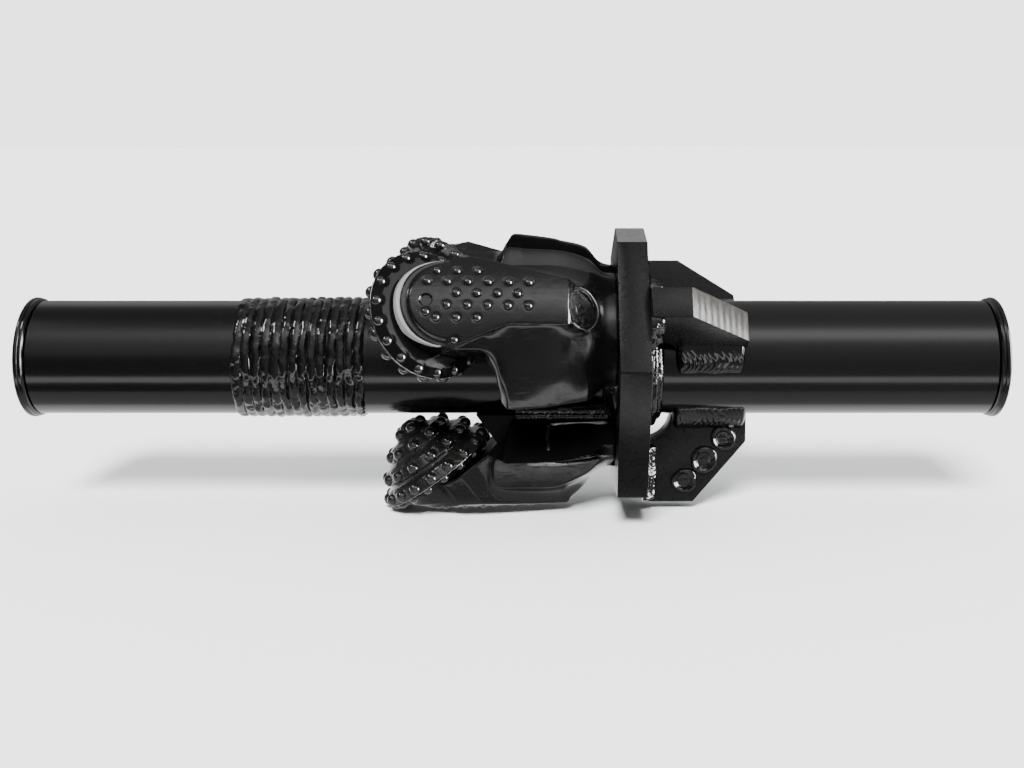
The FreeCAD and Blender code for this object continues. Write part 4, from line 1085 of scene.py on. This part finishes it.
def stage_plane(name, size, place, normal, material, **shown):
    bpy.ops.mesh.primitive_plane_add(size=1, location=[v * MM for v in place])
    plane = bpy.context.object
    plane.name = name
    plane.scale = (size[0] * MM, size[1] * MM, 1)
    plane.rotation_mode = "QUATERNION"
    plane.rotation_quaternion = Vector(normal).to_track_quat("Z", "Y")
    plane.data.materials.append(material)
    for key, value in shown.items():
        setattr(plane, key, value)


def glowing(name, strength, colour=(1, 1, 1)):
    material, tree, surface = empty_material(name)
    glow = add_node(tree, "Emission", {"Color": (*colour, 1), "Strength": strength})
    tree.links.new(glow.outputs["Emission"], surface)
    return material


REFLECTED = {"visible_camera": False, "visible_diffuse": False, "visible_shadow": False,
             "visible_transmission": False}


def studio_glow():
    """Emission that depends only on direction: a band over the front and four soft lamps."""
    material, tree, surface = empty_material("studio_glow")
    place = add_node(tree, "TexCoord").outputs["Object"]
    ray = add_node(tree, "VectorMath", {0: place}, operation="NORMALIZE").outputs["Vector"]
    parts = add_node(tree, "SeparateXYZ", {0: ray}).outputs

    def worked(kind, *values):
        return add_node(tree, "Math", dict(enumerate(values)), operation=kind).outputs[0]

    def ranged(value, low, high, start=0.0, end=1.0, kind="SMOOTHSTEP"):
        return add_node(tree, "MapRange", {
            "Value": value, "From Min": low, "From Max": high, "To Min": start, "To Max": end},
            interpolation_type=kind).outputs["Result"]

    front = worked("MULTIPLY", parts["Y"], -1.0)
    share_up = worked("DIVIDE", worked("ARCTAN2", parts["Z"], front), math.pi)
    left, right = (
        worked("MULTIPLY", add_ramp(tree, share_up, [
            (at, strength / BAND_TOP) for at, strength in stops], "B_SPLINE"), BAND_TOP)
        for stops in (BAND_LEFT, BAND_RIGHT))
    side = ranged(parts["X"], -0.35, 0.2, kind="LINEAR")
    total = worked("ADD", worked("MULTIPLY", right, side),
                   worked("MULTIPLY", left, worked("SUBTRACT", 1.0, side)))
    total = worked("MULTIPLY", total,
                   ranged(worked("ABSOLUTE", parts["X"]), 0.4, 0.75, 1.0, 0.22))
    for aim, radius, strength in LAMPS:
        dot = add_node(tree, "VectorMath", {0: ray, 1: Vector(aim).normalized()},
                       operation="DOT_PRODUCT").outputs["Value"]
        edge, core = (math.cos(math.radians(radius * share)) for share in (1.25, 0.75))
        total = worked("ADD", total, ranged(dot, edge, core, end=strength))
    glow = add_node(tree, "Emission", {"Strength": total})
    tree.links.new(glow.outputs["Emission"], surface)
    return material


def make_stage():
    stage_plane("floor", (40000, 40000), (0, 0, FLOOR_Z), (0, 0, 1), floor_paper(),
                visible_glossy=False)
    for name, radius, material, shown in (
            ("backdrop", 18, glowing("backdrop_paper", 2.9, (0.985, 0.995, 1.0)), "camera"),
            ("studio", 3.5, studio_glow(), "glossy")):
        bpy.ops.mesh.primitive_uv_sphere_add(segments=64, ring_count=32, radius=radius)
        ball = bpy.context.object
        ball.name = name
        ball.data.materials.append(material)
        for key in ("camera", "diffuse", "glossy", "shadow", "transmission"):
            setattr(ball, "visible_" + key, key == shown)
    low = FLOOR_Z + 2
    for name, size, place, strength in (
            ("floor_glow_behind", (3000, 1400), (0, 690, low), 1.8),
            ("floor_glow_under", (3000, 100), (0, -60, low), 0.75),
            ("floor_glow_front", (3000, 90), (0, -245, low), 2.5)):
        stage_plane(name, size, place, (0, 0, 1), glowing(name, strength), **REFLECTED)


def make_lights():
    world = bpy.data.worlds.new("studio")
    bpy.context.scene.world = world
    world.use_nodes = True
    shader = world.node_tree.nodes["Background"]
    shader.inputs["Color"].default_value = (1, 1, 1, 1)
    shader.inputs["Strength"].default_value = 0.25
    for name, energy, angle, aim in (("key", 12.0, 19, (-0.12, -1.0, 0.94)),
                                     ("fill", 3.8, 100, (0, 0.45, 1.0))):
        sun = bpy.data.lights.new(name, "SUN")
        sun.energy = energy
        sun.angle = math.radians(angle)
        lamp = add_object(name, sun)
        lamp.visible_glossy = False
        lamp.rotation_mode = "QUATERNION"
        lamp.rotation_quaternion = Vector(aim).to_track_quat("Z", "Y")


def make_camera():
    camera = bpy.data.cameras.new("camera")
    camera.sensor_width = 36
    camera.lens = FOCAL * camera.sensor_width / FRAME_WIDTH
    camera.shift_x = (FRAME_WIDTH / 2 - CENTRE_X) / FRAME_WIDTH
    camera.shift_y = -(FRAME_HEIGHT / 2 - CENTRE_Y) / FRAME_WIDTH
    camera.clip_start, camera.clip_end = 0.05, 100
    elevation, pitch = math.radians(10), math.radians(6.9)
    distance, across = 1387.0, 42.6
    piece = add_object("camera", camera)
    piece.location = Vector((across, -distance * math.cos(elevation),
                             distance * math.sin(elevation))) * MM
    piece.rotation_euler = (math.pi / 2 - pitch, 0, 0)
    bpy.context.scene.camera = piece


make_stage()
make_lights()
make_camera()
